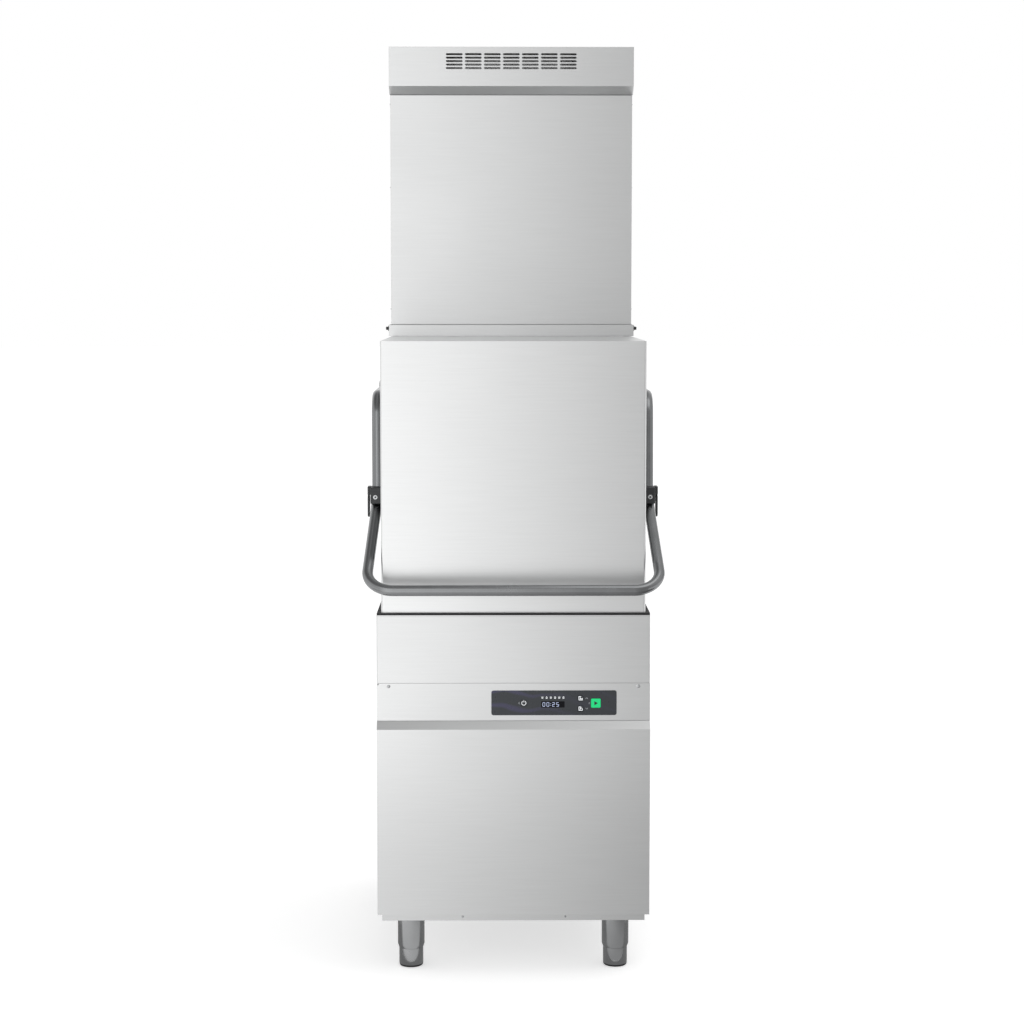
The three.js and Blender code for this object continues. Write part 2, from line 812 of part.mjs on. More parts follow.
// a clamp round both tube ends, with a flat tongue hanging down outside the tube
function jointBlock(sign) {
  const side = (a, b) => [Math.min(sign * a, sign * b), Math.max(sign * a, sign * b)];
  const [blockX0, blockX1] = side(JOINT.x - 13.2, JOINT.x + 14.5);
  const [bridgeX0, bridgeX1] = side(JOINT.x + 13, JOINT.x + 23);
  const [tongueX0, tongueX1] = side(JOINT.x + 18, JOINT.x + 23);
  const { y, z } = JOINT;
  const strap = raised(roundedRectangle(y - 14, y + 14, z - 42, z + 31, 11), tongueX0, tongueX1);
  strap.applyMatrix4(new THREE.Matrix4().set(0, 0, 1, 0, 1, 0, 0, 0, 0, 1, 0, 0, 0, 0, 0, 1));
  const bore = TUBE_R + FIT;
  const middle = mirrored(JOINT, sign);
  const upper = new BentPath([middle, mirrored(towards(JOINT, ELBOW, 60), sign)], 1);
  const lower = new BentPath([middle, mirrored(towards(JOINT, GRIP, 60), sign)], 1);
  return build(
    [
      block(blockX0, blockX1, y - 40, y + 24, z - 8, z + 31),
      block(bridgeX0, bridgeX1, y - 14, y + 14, z + 11, z + 31),
      strap,
    ],
    [swept(upper, bore, 12), swept(lower, bore, 12)],
  );
}

part('left_joint_block', jointBlock(-1), blackPlastic);
part('right_joint_block', jointBlock(1), blackPlastic);

// ---------------------------------------------------------------- counterbalance springs

class Helix extends THREE.Curve {
  constructor(x, y, z0, z1, radius, turns) {
    super();
    Object.assign(this, { x, y, z0, z1, radius, turns, steps: turns * 8 });
  }

  getPoint(t, target = new THREE.Vector3()) {
    const angle = 2 * Math.PI * this.turns * t;
    return target.set(
      this.x + this.radius * Math.cos(angle),
      this.y + this.radius * Math.sin(angle),
      this.z0 + (this.z1 - this.z0) * t,
    );
  }
}

const SPRING = { x: 200, y: 718, bottom: 900, top: 1340, turns: 9 };

for (const [side, sign] of [['left', -1], ['right', 1]]) {
  const { x, y, bottom, top, turns } = SPRING;
  const coil = new Helix(sign * x, y, bottom, top, 20, turns);
  part(`${side}_spring`, swept(coil, 3.5, 4), steel);
}

// ---------------------------------------------------------------- heat-recovery tower

function towerCasing() {
  const { half, front, top } = TOWER;
  const bottom = COLUMN.top + FIT;
  const start = front + FIT;
  return build(
    [block(-half, half, start, REAR, bottom, top - SHEET - FIT)],
    [
      block(-half + SHEET, half - SHEET, start - 1, REAR - SHEET, bottom + SHEET, top - 2 * SHEET - FIT),
      block(-150, 150, 680, 780, bottom - 1, bottom + SHEET + 1),
    ],
  );
}

part('tower_casing', towerCasing(), brushed);
part('tower_front_panel', block(-TOWER.half, TOWER.half, TOWER.front - SHEET, TOWER.front,
  COLUMN.top + FIT, TOWER.bevelZ - FIT), brushed);

const LOUVRE = { rows: 5, columns: 7, pitchX: 48, pitchZ: 8.65, width: 43, height: 4.7, topZ: 2181.5 };

function louvreSlots(y0, y1) {
  const slots = [];
  for (let row = 0; row < LOUVRE.rows; row += 1) {
    for (let column = 0; column < LOUVRE.columns; column += 1) {
      const x = (column - (LOUVRE.columns - 1) / 2) * LOUVRE.pitchX;
      const z = LOUVRE.topZ - row * LOUVRE.pitchZ;
      const u = LOUVRE.width / 2;
      const v = LOUVRE.height / 2;
      const outline = [[-u, 0], [-u + v, -v], [u - v, -v], [u, 0], [u - v, v], [-u + v, v]];
      const slot = raised(polygon(outline), 0, y1 - y0);
      slot.rotateX(Math.PI / 2);
      slot.translate(x, y1, z);
      slots.push(slot);
    }
  }
  return mergeGeometries(slots);
}

function louvreBand() {
  const { half, front, band, bevelZ, bandZ, top } = TOWER;
  const outer = half + 2;
  const side = [
    [front, bevelZ],
    [band, bandZ],
    [band, top],
    [REAR, top],
    [REAR, top - SHEET],
    [front, top - SHEET],
  ];
  const hollow = [
    [front + 1, bevelZ + 2.4],
    [band + SHEET, bandZ + 1],
    [band + SHEET, top - SHEET],
    [front + 1, top - SHEET],
  ];
  return build(
    [alongX(side, -outer, outer)],
    [
      alongX(hollow, -half + FIT, half - FIT),
      louvreSlots(band - 1, band + SHEET + 1),
    ],
  );
}

part('louvre_band', louvreBand(), brushed);

function condenserCoil() {
  const half = 250;
  const [front, rear] = [640, 780];
  const [bottom, top] = [1760, 1960];
  const cuts = [];
  const fins = 14;
  for (let i = 1; i < fins; i += 1) {
    const x = -half + (2 * half * i) / fins;
    cuts.push(block(x - 16, x + 16, front - 1, rear - 4, bottom + 3, top - 3));
  }
  const bends = [1800, 1860, 1920].map((z) => rodAlongX(9, -half - 24, half + 24, 700, z, 10));
  return build([block(-half, half, front, rear, bottom, top), ...bends], cuts);
}

part('condenser_coil', condenserCoil(), copper);

const FAN = { y: 716, z: 2040 };

function fanImpeller() {
  const blades = [];
  const count = 7;
  for (let i = 0; i < count; i += 1) {
    const blade = block(20, 84, -2, 2, -18, 18);
    blade.rotateX(0.7);
    blade.rotateZ((2 * Math.PI * i) / count);
    blades.push(blade);
  }
  const geometry = build([rod(26, -18, 18, 0, 0), ...blades], [rod(5.5, -19, 19, 0, 0, 10)]);
  geometry.translate(0, FAN.y, FAN.z);
  return geometry;
}

part('fan_impeller', fanImpeller(), blackPlastic);

function fanMotor() {
  const { y, z } = FAN;
  const cradle = [-1, 1].map((sign) => block(
    Math.min(sign * 30, sign * (TOWER.half - SHEET - FIT)),
    Math.max(sign * 30, sign * (TOWER.half - SHEET - FIT)),
    y - 12,
    y + 12,
    z - 52,
    z - 46,
  ));
  return build([rod(36, z - 66, z - 22, 0, y, 20), rod(5, z - 30, z + 12, 0, y, 10), ...cradle]);
}

part('fan_motor', fanMotor(), greyPlastic);

// ---------------------------------------------------------------- the whole machine

machine.position.y = -Y_CENTRE;

const group = new THREE.Group();
group.add(machine);

export default group;
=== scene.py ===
"""Hood-type commercial dishwasher with a heat-recovery tower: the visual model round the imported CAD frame.

Places and sizes are in design millimetres: x to the right, y backwards, z up.
at() turns a place into the row frame's metres, so the numbers are the ones the CAD source uses.
"""
import math

import bmesh
import bpy
from mathutils import Matrix, Vector


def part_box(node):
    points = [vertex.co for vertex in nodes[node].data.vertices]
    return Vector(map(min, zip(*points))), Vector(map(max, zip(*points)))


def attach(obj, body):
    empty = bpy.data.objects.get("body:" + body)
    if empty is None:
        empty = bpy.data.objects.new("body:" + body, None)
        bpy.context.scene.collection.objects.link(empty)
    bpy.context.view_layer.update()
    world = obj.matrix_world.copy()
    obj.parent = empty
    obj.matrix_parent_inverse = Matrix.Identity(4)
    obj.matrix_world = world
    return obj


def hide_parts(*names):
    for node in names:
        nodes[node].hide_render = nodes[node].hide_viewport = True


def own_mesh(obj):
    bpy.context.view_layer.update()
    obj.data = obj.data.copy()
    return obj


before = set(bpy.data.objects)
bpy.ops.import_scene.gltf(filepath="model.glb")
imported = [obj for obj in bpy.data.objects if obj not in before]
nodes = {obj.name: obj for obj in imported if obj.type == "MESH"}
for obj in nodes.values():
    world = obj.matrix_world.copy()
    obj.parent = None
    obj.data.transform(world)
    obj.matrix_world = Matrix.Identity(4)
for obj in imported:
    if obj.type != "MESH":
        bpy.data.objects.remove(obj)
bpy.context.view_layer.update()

# ---------------------------------------------------------------- driving dimensions

MM = 0.001
PANEL_FRONT = -7
DEPTH_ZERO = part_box("lower_front_panel")[0][1] - PANEL_FRONT * MM  # where y = 0 lies in the row frame

SIDES = (("left", -1), ("right", 1))
HALF = 315  # half the cabinet's width
FACE = 7  # y of the control strip's face
REAR = 820  # y of the rear panel's face
COLUMN_HALF = 275
TOWER_HALF = 307.5
TOWER_PEG = (313, 613, 1491)

TUBE_R = 12.5
TUBE_WALL = 2
TUBE_BEND = 60
HUB_X = 327
HUB_RADIUS = 22
HUB_BORE = 10.4
PIVOT = (650, 1335)  # y, z of the handle's axis
ELBOW = (325, 258, 1335)
JOINT = (321, 190, 1093)
GRIP = (336.5, -60, 909)
ROLLER = (323.8, 236.6, 1259)
ROLLER_RADIUS = 8
ROLLER_TIP = 307.9  # x of the lift pin's inner end
JOINT_GAP = 12
# x, y and z extents of each part of a joint block, from the joint's centre
JOINT_BODY = (-13.2, 14.5, -40, 24, -8, 31)
JOINT_BRIDGE = (14.6, 23, -14, 14, 11, 31)
JOINT_TONGUE = (18, 22.9, -14, 14, -42, 10.9)
JOINT_SCREW = (3, -40, 8)  # its place, from the joint's centre

LEG_X = 240.5
LEG_ROWS = (("front", 77), ("rear", 743))  # y of each pair of legs
LEG_SLEEVE_R = 31.5
LEG_FOOT_R = 28.3
LEG_BORE = 12.5
LEG_TOP = 121.7
LEG_ROD_TOP = 110  # top of the foot's rod, inside the sleeve
LEG_SEAM = 45  # height where the sleeve's tapered end meets the foot
LEG_PAD = 5  # height of the rubber pad

DISPLAY_FRONT = 5.4
CLOCK_GLASS = (64, 118, 627.5, 642)  # x and z extents
CLOCK_DIGITS = (67.5, 630.4)  # the first digit's lower left corner
ICON_ROW = (66.8, 650.8, 9.7, 6)  # the first icon's x and z, the pitch and the count
CHEVRONS = [  # x, z, size, direction and line width
    (13, 638, 2.6, "left", 0.9),
    (169, 649, 2.8, "up", 0.9),
    (169, 625, 2.8, "down", 0.9),
    (175, 637.5, 2.2, "left", 0.8),
]
PRINT = 0.12  # how far the print stands proud
BUTTON_FRONT = 5.1
BUTTON_BACK = 12
BUTTONS = {  # x and z of the middle, width and height
    "power_button": (24, 638, 14, 14),
    "program_button_upper": (155, 649, 13, 13),
    "program_button_lower": (155, 625, 13, 13),
    "start_button": (190, 637.5, 22, 21),
}

SPRING = (200, 718, 900, 1340)  # x, y, bottom, top
SPRING_RADIUS = 20
SPRING_TURNS = 26
SPRING_WIRE = 3.2

FRONT_SCREWS = {  # place and radius
    "strip_screw_left": ((-288, FACE, 677), 3.4),
    "strip_screw_right": ((288, FACE, 677), 3.4),
    "base_screw_left": ((-118, 20, 131), 2.2),
    "base_screw_right": ((121, 20, 131), 2.2),
}
SCREW_ROWS = (  # name, x, y, facing, radius and heights, repeated at both sides
    ("{side}_panel_screw", HALF, 790, "outward", 2.6, (170, 420, 660)),
    ("{side}_column_screw", COLUMN_HALF, 800, "outward", 2.4, (880, 1160, 1440)),
    ("{side}_tower_screw", TOWER_HALF, 642, "outward", 2.4, (1540, 1850, 2060)),
    ("rear_screw_{side}", 302, REAR, "Y", 2.6, (165, 410, 665)),
    ("tower_rear_screw_{side}", 292, REAR, "Y", 2.6, (1530, 1840, 2160)),
)

# the studio, in metres
FLOOR_RADIUS = 60.0
FLOOR_COLOUR = (0.93, 0.93, 0.93)
FLOOR_GLOW = 0.50

CARD_SPAN = (-0.85, 0.95)  # where the card's light starts and stops changing from left to right
CARD_LIGHT = (3.18, 0.92)
CARD_LEFT_END = (-2.0, -1.1, 0.62, 1.0)  # its far left end is dimmed over this stretch, by this much
# the share of that light at each height
CARD_SHARES = [(0.0, 0.33), (0.06, 0.43), (0.2, 0.62), (0.36, 0.57), (0.5, 0.5)]
CARD_HALF = 2.4  # half its width
CARD_NEAR = -0.34  # y of its edge near the object
CARD_FAR = -2.5
CARD_FOOT = 0.003
CARD_TOP = 3.3
CARD_BEND = 0.9  # radius of the bend between its level and its upright part
CARD_STEPS = 12

FLAG_LIGHT = 0.33
FLAG_HALF = 0.62
FLAG_NEAR = -0.34
FLAG_FAR = 0.75
FLAG_HEIGHT = 0.001

# light from round about, from 0 at -X through 0.25 at -Y, 0.5 at +X and 0.75 at +Y
WORLD_SIDES = [
    (0.0, 1.08), (0.05, 1.08), (0.125, 0.92), (0.22, 0.75), (0.30, 0.6), (0.42, 0.62),
    (0.5, 0.86), (0.55, 0.72), (0.6, 0.5), (0.64, 0.7), (0.67, 1.1), (1.0, 1.08),
]
WORLD_OVERHEAD = [(0.0, 0.16), (0.4, 0.34), (0.6, 0.7), (1.0, 0.95)]  # light from above, from -X to +X
WORLD_RISE = (0.35, 0.85, 0, 1)  # how far up the light from above takes over

LAMP_PLACE = (0.95, -0.9, 3.6)
LAMP_TARGET = (0.95, -0.9, 0)
LAMP_SIZE = (1.7, 1.8)
LAMP_RADIANCE = 0.9

CAMERA_PLACE = (-44.3, -4783, 1575)
CAMERA_TILT = 4.637  # degrees below the horizon
CAMERA_YAW = 0.490  # degrees to the right
CAMERA_SENSOR = 36
CAMERA_LENS = 73.9336
CAMERA_SHIFT = -0.045


def at(x, y, z):
    """A place in design millimetres as a point in the row frame's metres."""
    return Vector((x * MM, y * MM + DEPTH_ZERO, z * MM))


# ---------------------------------------------------------------- material building


def ramp(tree, source, stops):
    """A smooth grey ramp over a value, through stops of (position, level)."""
    made = tree.nodes.new("ShaderNodeValToRGB")
    made.color_ramp.interpolation = "B_SPLINE"
    elements = made.color_ramp.elements
    while len(elements) < len(stops):
        elements.new(0.5)
    for element, (place, level) in zip(elements, stops):
        element.position = place
        element.color = (level, level, level, 1)
    tree.links.new(source, made.inputs[0])
    return made.outputs[0]


def map_range(tree, source, spans, smooth=True):
    """Carries a value from one span to another: spans are from low, from high, to low, to high."""
    made = tree.nodes.new("ShaderNodeMapRange")
    if smooth:
        made.interpolation_type = "SMOOTHSTEP"
    for key, number in zip(("From Min", "From Max", "To Min", "To Max"), spans):
        made.inputs[key].default_value = number
    tree.links.new(source, made.inputs["Value"])
    return made.outputs[0]


def product(tree, first, second):
    """Two values multiplied."""
    made = tree.nodes.new("ShaderNodeMath")
    made.operation = "MULTIPLY"
    tree.links.new(first, made.inputs[0])
    tree.links.new(second, made.inputs[1])
    return made.outputs[0]


class Shader:
    """A material under construction: one Principled shader and short calls that add nodes to it."""

    def __init__(self, name, colour, metallic, roughness):
        self.material = bpy.data.materials.new(name)
        self.material.use_nodes = True
        self.tree = self.material.node_tree
        self.principled = self.tree.nodes["Principled BSDF"]
        self.colour = colour
        self.roughness = roughness
        self.principled.inputs["Base Color"].default_value = (*colour, 1)
        self.principled.inputs["Metallic"].default_value = metallic
        self.principled.inputs["Roughness"].default_value = roughness
        self.place = self.node("ShaderNodeTexCoord").outputs["Object"]

    def node(self, kind, **settings):
        made = self.tree.nodes.new(kind)
        for key, value in settings.items():
            setattr(made, key, value)
        return made

    def feed(self, socket_shade, value):
        if isinstance(value, bpy.types.NodeSocket):
            self.tree.links.new(value, socket_shade)
        else:
            socket_shade.default_value = value

    def math(self, operation, first, second=0.0):
        made = self.node("ShaderNodeMath", operation=operation)
        self.feed(made.inputs[0], first)
        self.feed(made.inputs[1], second)
        return made.outputs[0]

    def split(self, vector):
        made = self.node("ShaderNodeSeparateXYZ")
        self.feed(made.inputs[0], vector)
        return made.outputs[0], made.outputs[1], made.outputs[2]

    def join(self, x, y, z):
        made = self.node("ShaderNodeCombineXYZ")
        for socket_shade, value in zip(made.inputs, (x, y, z)):
            self.feed(socket_shade, value)
        return made.outputs[0]

    def scaled(self, vector, scale):
        made = self.node("ShaderNodeVectorMath", operation="MULTIPLY")
        self.feed(made.inputs[0], vector)
        self.feed(made.inputs[1], scale)
        return made.outputs[0]

    def noise(self, vector, scale, detail=2.0):
        made = self.node("ShaderNodeTexNoise")
        self.feed(made.inputs["Vector"], vector)
        made.inputs["Scale"].default_value = scale
        made.inputs["Detail"].default_value = detail
        return made.outputs[0]

    def remap(self, value, low, high, to_low, to_high):
        return map_range(self.tree, value, (low, high, to_low, to_high), smooth=False)

    def blend(self, factor, first, second):
        made = self.node("ShaderNodeMix", data_type="RGBA")
        self.feed(made.inputs[0], factor)
        self.feed(made.inputs[6], first)
        self.feed(made.inputs[7], second)
        return made.outputs[2]

    def shade(self, factor, darker, lighter):
        """Base colour between two multiples of the material's own colour."""
        dark = (*[min(c * darker, 1) for c in self.colour], 1)
        light = (*[min(c * lighter, 1) for c in self.colour], 1)
        self.feed(self.principled.inputs["Base Color"], self.blend(factor, dark, light))

    def bump(self, height, depth_mm, strength=1.0):
        made = self.node("ShaderNodeBump")
        made.inputs["Strength"].default_value = strength
        made.inputs["Distance"].default_value = depth_mm * MM
        self.feed(made.inputs["Height"], height)
        self.feed(self.principled.inputs["Normal"], made.outputs[0])

    def vary_roughness(self, factor, low, high):
        self.feed(self.principled.inputs["Roughness"], self.remap(factor, 0.3, 0.7, low, high))


def brushed_metal(name, colour, roughness, grain_mm=0.45, depth_mm=0.016):
    """Sheet ground in one direction: level grain on upright faces, along x on level faces."""
    s = Shader(name, colour, 1.0, roughness)
    x, y, z = s.split(s.place)
    across = 1000 / grain_mm
    along = across / 90
    upright = s.join(s.math("MULTIPLY", s.math("ADD", x, y), along), 0.0, s.math("MULTIPLY", z, across))
    level = s.join(s.math("MULTIPLY", x, along), s.math("MULTIPLY", y, across), 0.0)
    normal_z = s.split(s.node("ShaderNodeNewGeometry").outputs["Normal"])[2]
    lies_flat = s.math("GREATER_THAN", s.math("ABSOLUTE", normal_z), 0.75)
    pick = s.node("ShaderNodeMix", data_type="VECTOR")
    s.feed(pick.inputs[0], lies_flat)
    s.feed(pick.inputs[4], upright)
    s.feed(pick.inputs[5], level)
    grain_place = pick.outputs[1]
    grain = s.noise(grain_place, 1.0, 3.0)
    streak = s.noise(s.scaled(grain_place, (0.3, 0.11, 0.11)), 1.0, 2.0)
    smudge = s.noise(s.place, 3.5, 1.5)
    tone = s.math("ADD", s.math("MULTIPLY", streak, 0.6), s.math("MULTIPLY", grain, 0.4))
    s.shade(tone, 0.94, 1.06)
    marks = s.math("ADD", s.math("MULTIPLY", smudge, 0.85), s.math("MULTIPLY", streak, 0.15))
    s.vary_roughness(marks, roughness - 0.02, roughness + 0.03)
    s.bump(grain, depth_mm, 0.6)
    return s.material


def polished_metal(name, colour, roughness, mark_scale=260.0):
    """Drawn or turned metal: nearly smooth, with fine drawing marks and cloudy wear."""
    s = Shader(name, colour, 1.0, roughness)
    fine = s.noise(s.scaled(s.place, (1.0, 1.0, 0.16)), mark_scale * 6, 3.0)
    cloud = s.noise(s.place, 22.0, 5.0)
    s.shade(cloud, 0.85, 1.12)
    s.vary_roughness(cloud, roughness - 0.05, roughness + 0.09)
    s.bump(fine, 0.008, 0.5)
    return s.material


def moulded_plastic(name, colour, roughness, cell_mm=0.9, depth_mm=0.03):
    """Spark-eroded plastic or rubber: a fine pebble, with patches of wear and paler rubbed edges."""
    s = Shader(name, colour, 0.0, roughness)
    pebble = s.noise(s.place, 1000 / cell_mm, 2.0)
    wear = s.noise(s.place, 45.0, 4.0)
    edge = s.remap(s.node("ShaderNodeNewGeometry").outputs["Pointiness"], 0.52, 0.6, 0.0, 1.0)
    s.shade(s.math("ADD", s.math("MULTIPLY", wear, 0.7), s.math("MULTIPLY", edge, 0.3)), 0.78, 1.55)
    s.vary_roughness(wear, roughness - 0.08, roughness + 0.1)
    s.bump(pebble, depth_mm, 0.7)
    return s.material


def display_foil():
    """Satin slate foil with faint violet arcs."""
    base = (0.026, 0.030, 0.036)
    s = Shader("display_foil", base, 0.0, 0.3)
    s.principled.inputs["Specular IOR Level"].default_value = 0.35
    s.principled.inputs["Coat Weight"].default_value = 0.15
    s.principled.inputs["Coat Roughness"].default_value = 0.15
    warp = s.noise(s.place, 14.0, 1.0)
    x, y, z = s.split(s.place)
    bent_x = s.math("ADD", x, s.math("MULTIPLY", warp, 0.05))
    bent_z = s.math("ADD", z, s.math("MULTIPLY", warp, 0.03))
    arcs = s.node("ShaderNodeTexWave", wave_type="RINGS", rings_direction="Y")
    s.feed(arcs.inputs["Vector"], s.join(bent_x, 0.0, bent_z))
    arcs.inputs["Scale"].default_value = 9.0
    line = s.remap(arcs.outputs[1], 0.72, 1.0, 0.0, 0.75)
    fade = s.remap(x, 0.0, 0.12, 1.0, 0.15)
    violet = (0.050, 0.046, 0.105, 1)
    tinted = s.blend(s.math("MULTIPLY", line, fade), (*base, 1), violet)
    s.feed(s.principled.inputs["Base Color"], tinted)
    s.vary_roughness(s.noise(s.place, 60.0, 3.0), 0.26, 0.34)
    s.bump(s.noise(s.place, 900.0, 2.0), 0.006, 0.4)
    return s.material


def printed_ink(name, colour, glow=0.0):
    """Printed colour, slightly uneven, that can glow where the print is backlit."""
    s = Shader(name, colour, 0.0, 0.45)
    s.shade(s.noise(s.place, 1500.0, 2.0), 0.9, 1.05)
    s.principled.inputs["Emission Color"].default_value = (*colour, 1)
    s.principled.inputs["Emission Strength"].default_value = glow
    s.vary_roughness(s.noise(s.place, 400.0, 2.0), 0.4, 0.5)
    return s.material


def lit_key():
    """Green key that glows a little, as if a lamp were behind it."""
    s = Shader("lit_green_key", (0.0, 0.55, 0.17), 0.0, 0.4)
    s.principled.inputs["Specular IOR Level"].default_value = 0.3
    s.principled.inputs["Emission Color"].default_value = (0.0, 0.70, 0.22, 1)
    s.principled.inputs["Emission Strength"].default_value = 0.3
    s.shade(s.noise(s.place, 500.0, 2.0), 0.92, 1.06)
    s.vary_roughness(s.noise(s.place, 120.0, 3.0), 0.3, 0.4)
    s.bump(s.noise(s.place, 1400.0, 1.0), 0.01, 0.4)
    return s.material


BRUSHED = brushed_metal("brushed_stainless", (0.635, 0.64, 0.64), 0.33)
FINE_BRUSHED = brushed_metal("fine_brushed_stainless", (0.69, 0.695, 0.695), 0.31, depth_mm=0.010)
STEEL = polished_metal("drawn_stainless", (0.50, 0.51, 0.515), 0.24)
BRIGHT_STEEL = polished_metal("turned_stainless", (0.60, 0.61, 0.615), 0.2)
# painted shade: the stainless tubes' colour is darkened to stand in for the dark surroundings they reflect
SHADE_DARKENED_TUBE = polished_metal("polished_tube_darkened_for_shade", (0.24, 0.245, 0.25), 0.2, mark_scale=200.0)
# painted shade: the legs' steel colour is darkened to stand in for the dark reflections at their sides
SHADE_DARKENED_LEG_STEEL = polished_metal("leg_steel_darkened_for_shade", (0.36, 0.365, 0.37), 0.2, mark_scale=90.0)
COPPER = polished_metal("copper_tube", (0.72, 0.40, 0.26), 0.3)
RUBBER = moulded_plastic("black_rubber", (0.012, 0.012, 0.013), 0.72, cell_mm=0.7)
BLACK_PLASTIC = moulded_plastic("black_moulded_plastic", (0.018, 0.019, 0.021), 0.42)
GREY_PLASTIC = moulded_plastic("grey_moulded_plastic", (0.16, 0.17, 0.18), 0.5)
FOIL = display_foil()
WHITE_INK = printed_ink("white_print", (0.86, 0.88, 0.9), 0.35)
GREY_INK = printed_ink("grey_print", (0.42, 0.44, 0.47))
DARK_INK = printed_ink("dark_print", (0.01, 0.02, 0.018))
LCD_GLASS = moulded_plastic("lcd_glass", (0.002, 0.002, 0.004), 0.3, cell_mm=2.0, depth_mm=0.002)
LCD_GLASS.node_tree.nodes["Principled BSDF"].inputs["Specular IOR Level"].default_value = 0.12
LCD_INK = printed_ink("lit_digits", (0.55, 0.62, 0.85), 0.25)
GREEN_KEY = lit_key()

# ---------------------------------------------------------------- mesh building


def rounded(obj, width_mm, segments=2, angle=30):
    """A bevel on the sharp edges, with the flat faces' shading kept flat."""
    weld = obj.modifiers.new("join_vertices", "WELD")
    weld.merge_threshold = 0.00002
    bevel = obj.modifiers.new("rounded_edges", "BEVEL")
    bevel.width = width_mm * MM
    bevel.segments = segments
    bevel.limit_method = "ANGLE"
    bevel.angle_limit = math.radians(angle)
    bevel.use_clamp_overlap = True
    flat = obj.modifiers.new("flat_shading", "WEIGHTED_NORMAL")
    flat.weight = 100
    return obj


def piece(name, bm, body, material, replaces=(), smooth=38):
    """A new object from a bmesh in row-frame metres, riding on a body."""
    bmesh.ops.remove_doubles(bm, verts=bm.verts, dist=1e-6)
    bmesh.ops.recalc_face_normals(bm, faces=bm.faces)
    mesh = bpy.data.meshes.new(name)
    bm.to_mesh(mesh)
    bm.free()
    mesh.shade_smooth()
    mesh.set_sharp_from_angle(angle=math.radians(smooth))
    obj = bpy.data.objects.new(name, mesh)
    bpy.context.scene.collection.objects.link(obj)
    obj.data.materials.append(material)
    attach(obj, body)
    if replaces:
        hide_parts(*replaces)
    return obj


def loft(bm, rings, closed_ends=True):
    """Skins a list of equally long rings of points."""
    made = [[bm.verts.new(point) for point in ring] for ring in rings]
    count = len(made[0])
    for first, second in zip(made, made[1:]):
        for i in range(count):
            j = (i + 1) % count
            bm.faces.new((first[i], first[j], second[j], second[i]))
    if closed_ends:
        bm.faces.new(made[0][::-1])
        bm.faces.new(made[-1])


def sweep(bm, path, radius, sides=28, wall=0.0):
    """A round bar, or a tube with a wall, along a list of points in metres."""
    points = [Vector(p) for p in path]
    directions = []
    for i in range(len(points)):
        before = points[max(i - 1, 0)]
        after = points[min(i + 1, len(points) - 1)]
        directions.append((after - before).normalized())
    side = directions[0].orthogonal().normalized()
    frames = []
    for direction in directions:
        side = (side - direction * side.dot(direction)).normalized()
        frames.append((side.copy(), direction.cross(side)))

    def ring(index, r):
        u, v = frames[index]
        turn = [2 * math.pi * i / sides for i in range(sides)]
        return [points[index] + (u * math.cos(a) + v * math.sin(a)) * r * MM for a in turn]

    outer = [ring(i, radius) for i in range(len(points))]
    if not wall:
        loft(bm, outer)
        return
    inner = [ring(i, radius - wall) for i in range(len(points))]
    loft(bm, [*outer, *inner[::-1], outer[0]], closed_ends=False)


def bent(corners, radius, steps=12):
    """Straight runs between corner points in metres, each corner rounded with the radius in millimetres."""
    path = [corners[0]]
    for before, corner, after in zip(corners, corners[1:], corners[2:]):
        inward = (corner - before).normalized()
        outward = (after - corner).normalized()
        turn = inward.angle(outward)
        reach = radius * MM * math.tan(turn / 2)
        to_centre = (outward - inward * math.cos(turn)).normalized()
        start = corner - inward * reach
        for step in range(steps + 1):
            angle = turn * step / steps
            path.append(
                start
                + inward * (radius * MM * math.sin(angle))
                + to_centre * (radius * MM * (1 - math.cos(angle)))
            )
    path.append(corners[-1])
    return path


AXES = {
    "X": Matrix(((0, 0, 1), (1, 0, 0), (0, 1, 0))),
    "-X": Matrix(((0, 0, -1), (1, 0, 0), (0, 1, 0))),
    "Y": Matrix(((1, 0, 0), (0, 0, 1), (0, 1, 0))),
    "-Y": Matrix(((1, 0, 0), (0, 0, -1), (0, 1, 0))),
    "Z": Matrix.Identity(3),
    "-Z": Matrix(((1, 0, 0), (0, 1, 0), (0, 0, -1))),
}


def lathe(bm, profile, centre, axis="Z", segments=40, closed_ends=True):
    """A profile of (radius, height) in millimetres turned about an axis through a point."""
    turn = AXES[axis]
    rings = []
    for radius, height in profile:
        ring = []
        for i in range(segments):
            angle = 2 * math.pi * i / segments
            local = Vector((radius * math.cos(angle), radius * math.sin(angle), height)) * MM
            ring.append(at(*centre) + turn @ local)
        rings.append(ring)
    loft(bm, rings, closed_ends)


def turn_rings(bm, profile, centre, axis, segments=40):
    """A profile that ends where it starts, turned into a ring."""
    lathe(bm, profile, centre, axis, segments, closed_ends=False)


def plate(bm, outline, depth0, depth1, axis="Y"):
    """An outline of (x, z), (y, z) or (x, y) millimetres given a thickness along the axis."""

    def place(u, v, w):
        if axis == "Y":
            return at(u, w, v)
        if axis == "X":
            return at(w, u, v)
        return at(u, v, w)

    loft(bm, [[place(u, v, w) for u, v in outline] for w in (depth0, depth1)])


def outward(sign):
    """The axis that points away from the object on the left (-1) or right (1) side."""
    return "X" if sign > 0 else "-X"


def rounded_outline(u0, u1, v0, v1, radius, steps=6):
    """A rectangle with round corners."""
    outline = []
    for cu, cv, start in (
        (u1 - radius, v1 - radius, 0),
        (u0 + radius, v1 - radius, 90),
        (u0 + radius, v0 + radius, 180),
        (u1 - radius, v0 + radius, 270),
    ):
        for step in range(steps + 1):
            angle = math.radians(start + 90 * step / steps)
            outline.append((cu + radius * math.cos(angle), cv + radius * math.sin(angle)))
    return outline


def block(bm, x0, x1, y0, y1, z0, z1):
    plate(bm, [(x0, z0), (x1, z0), (x1, z1), (x0, z1)], y0, y1)


# ---------------------------------------------------------------- carried-over CAD nodes


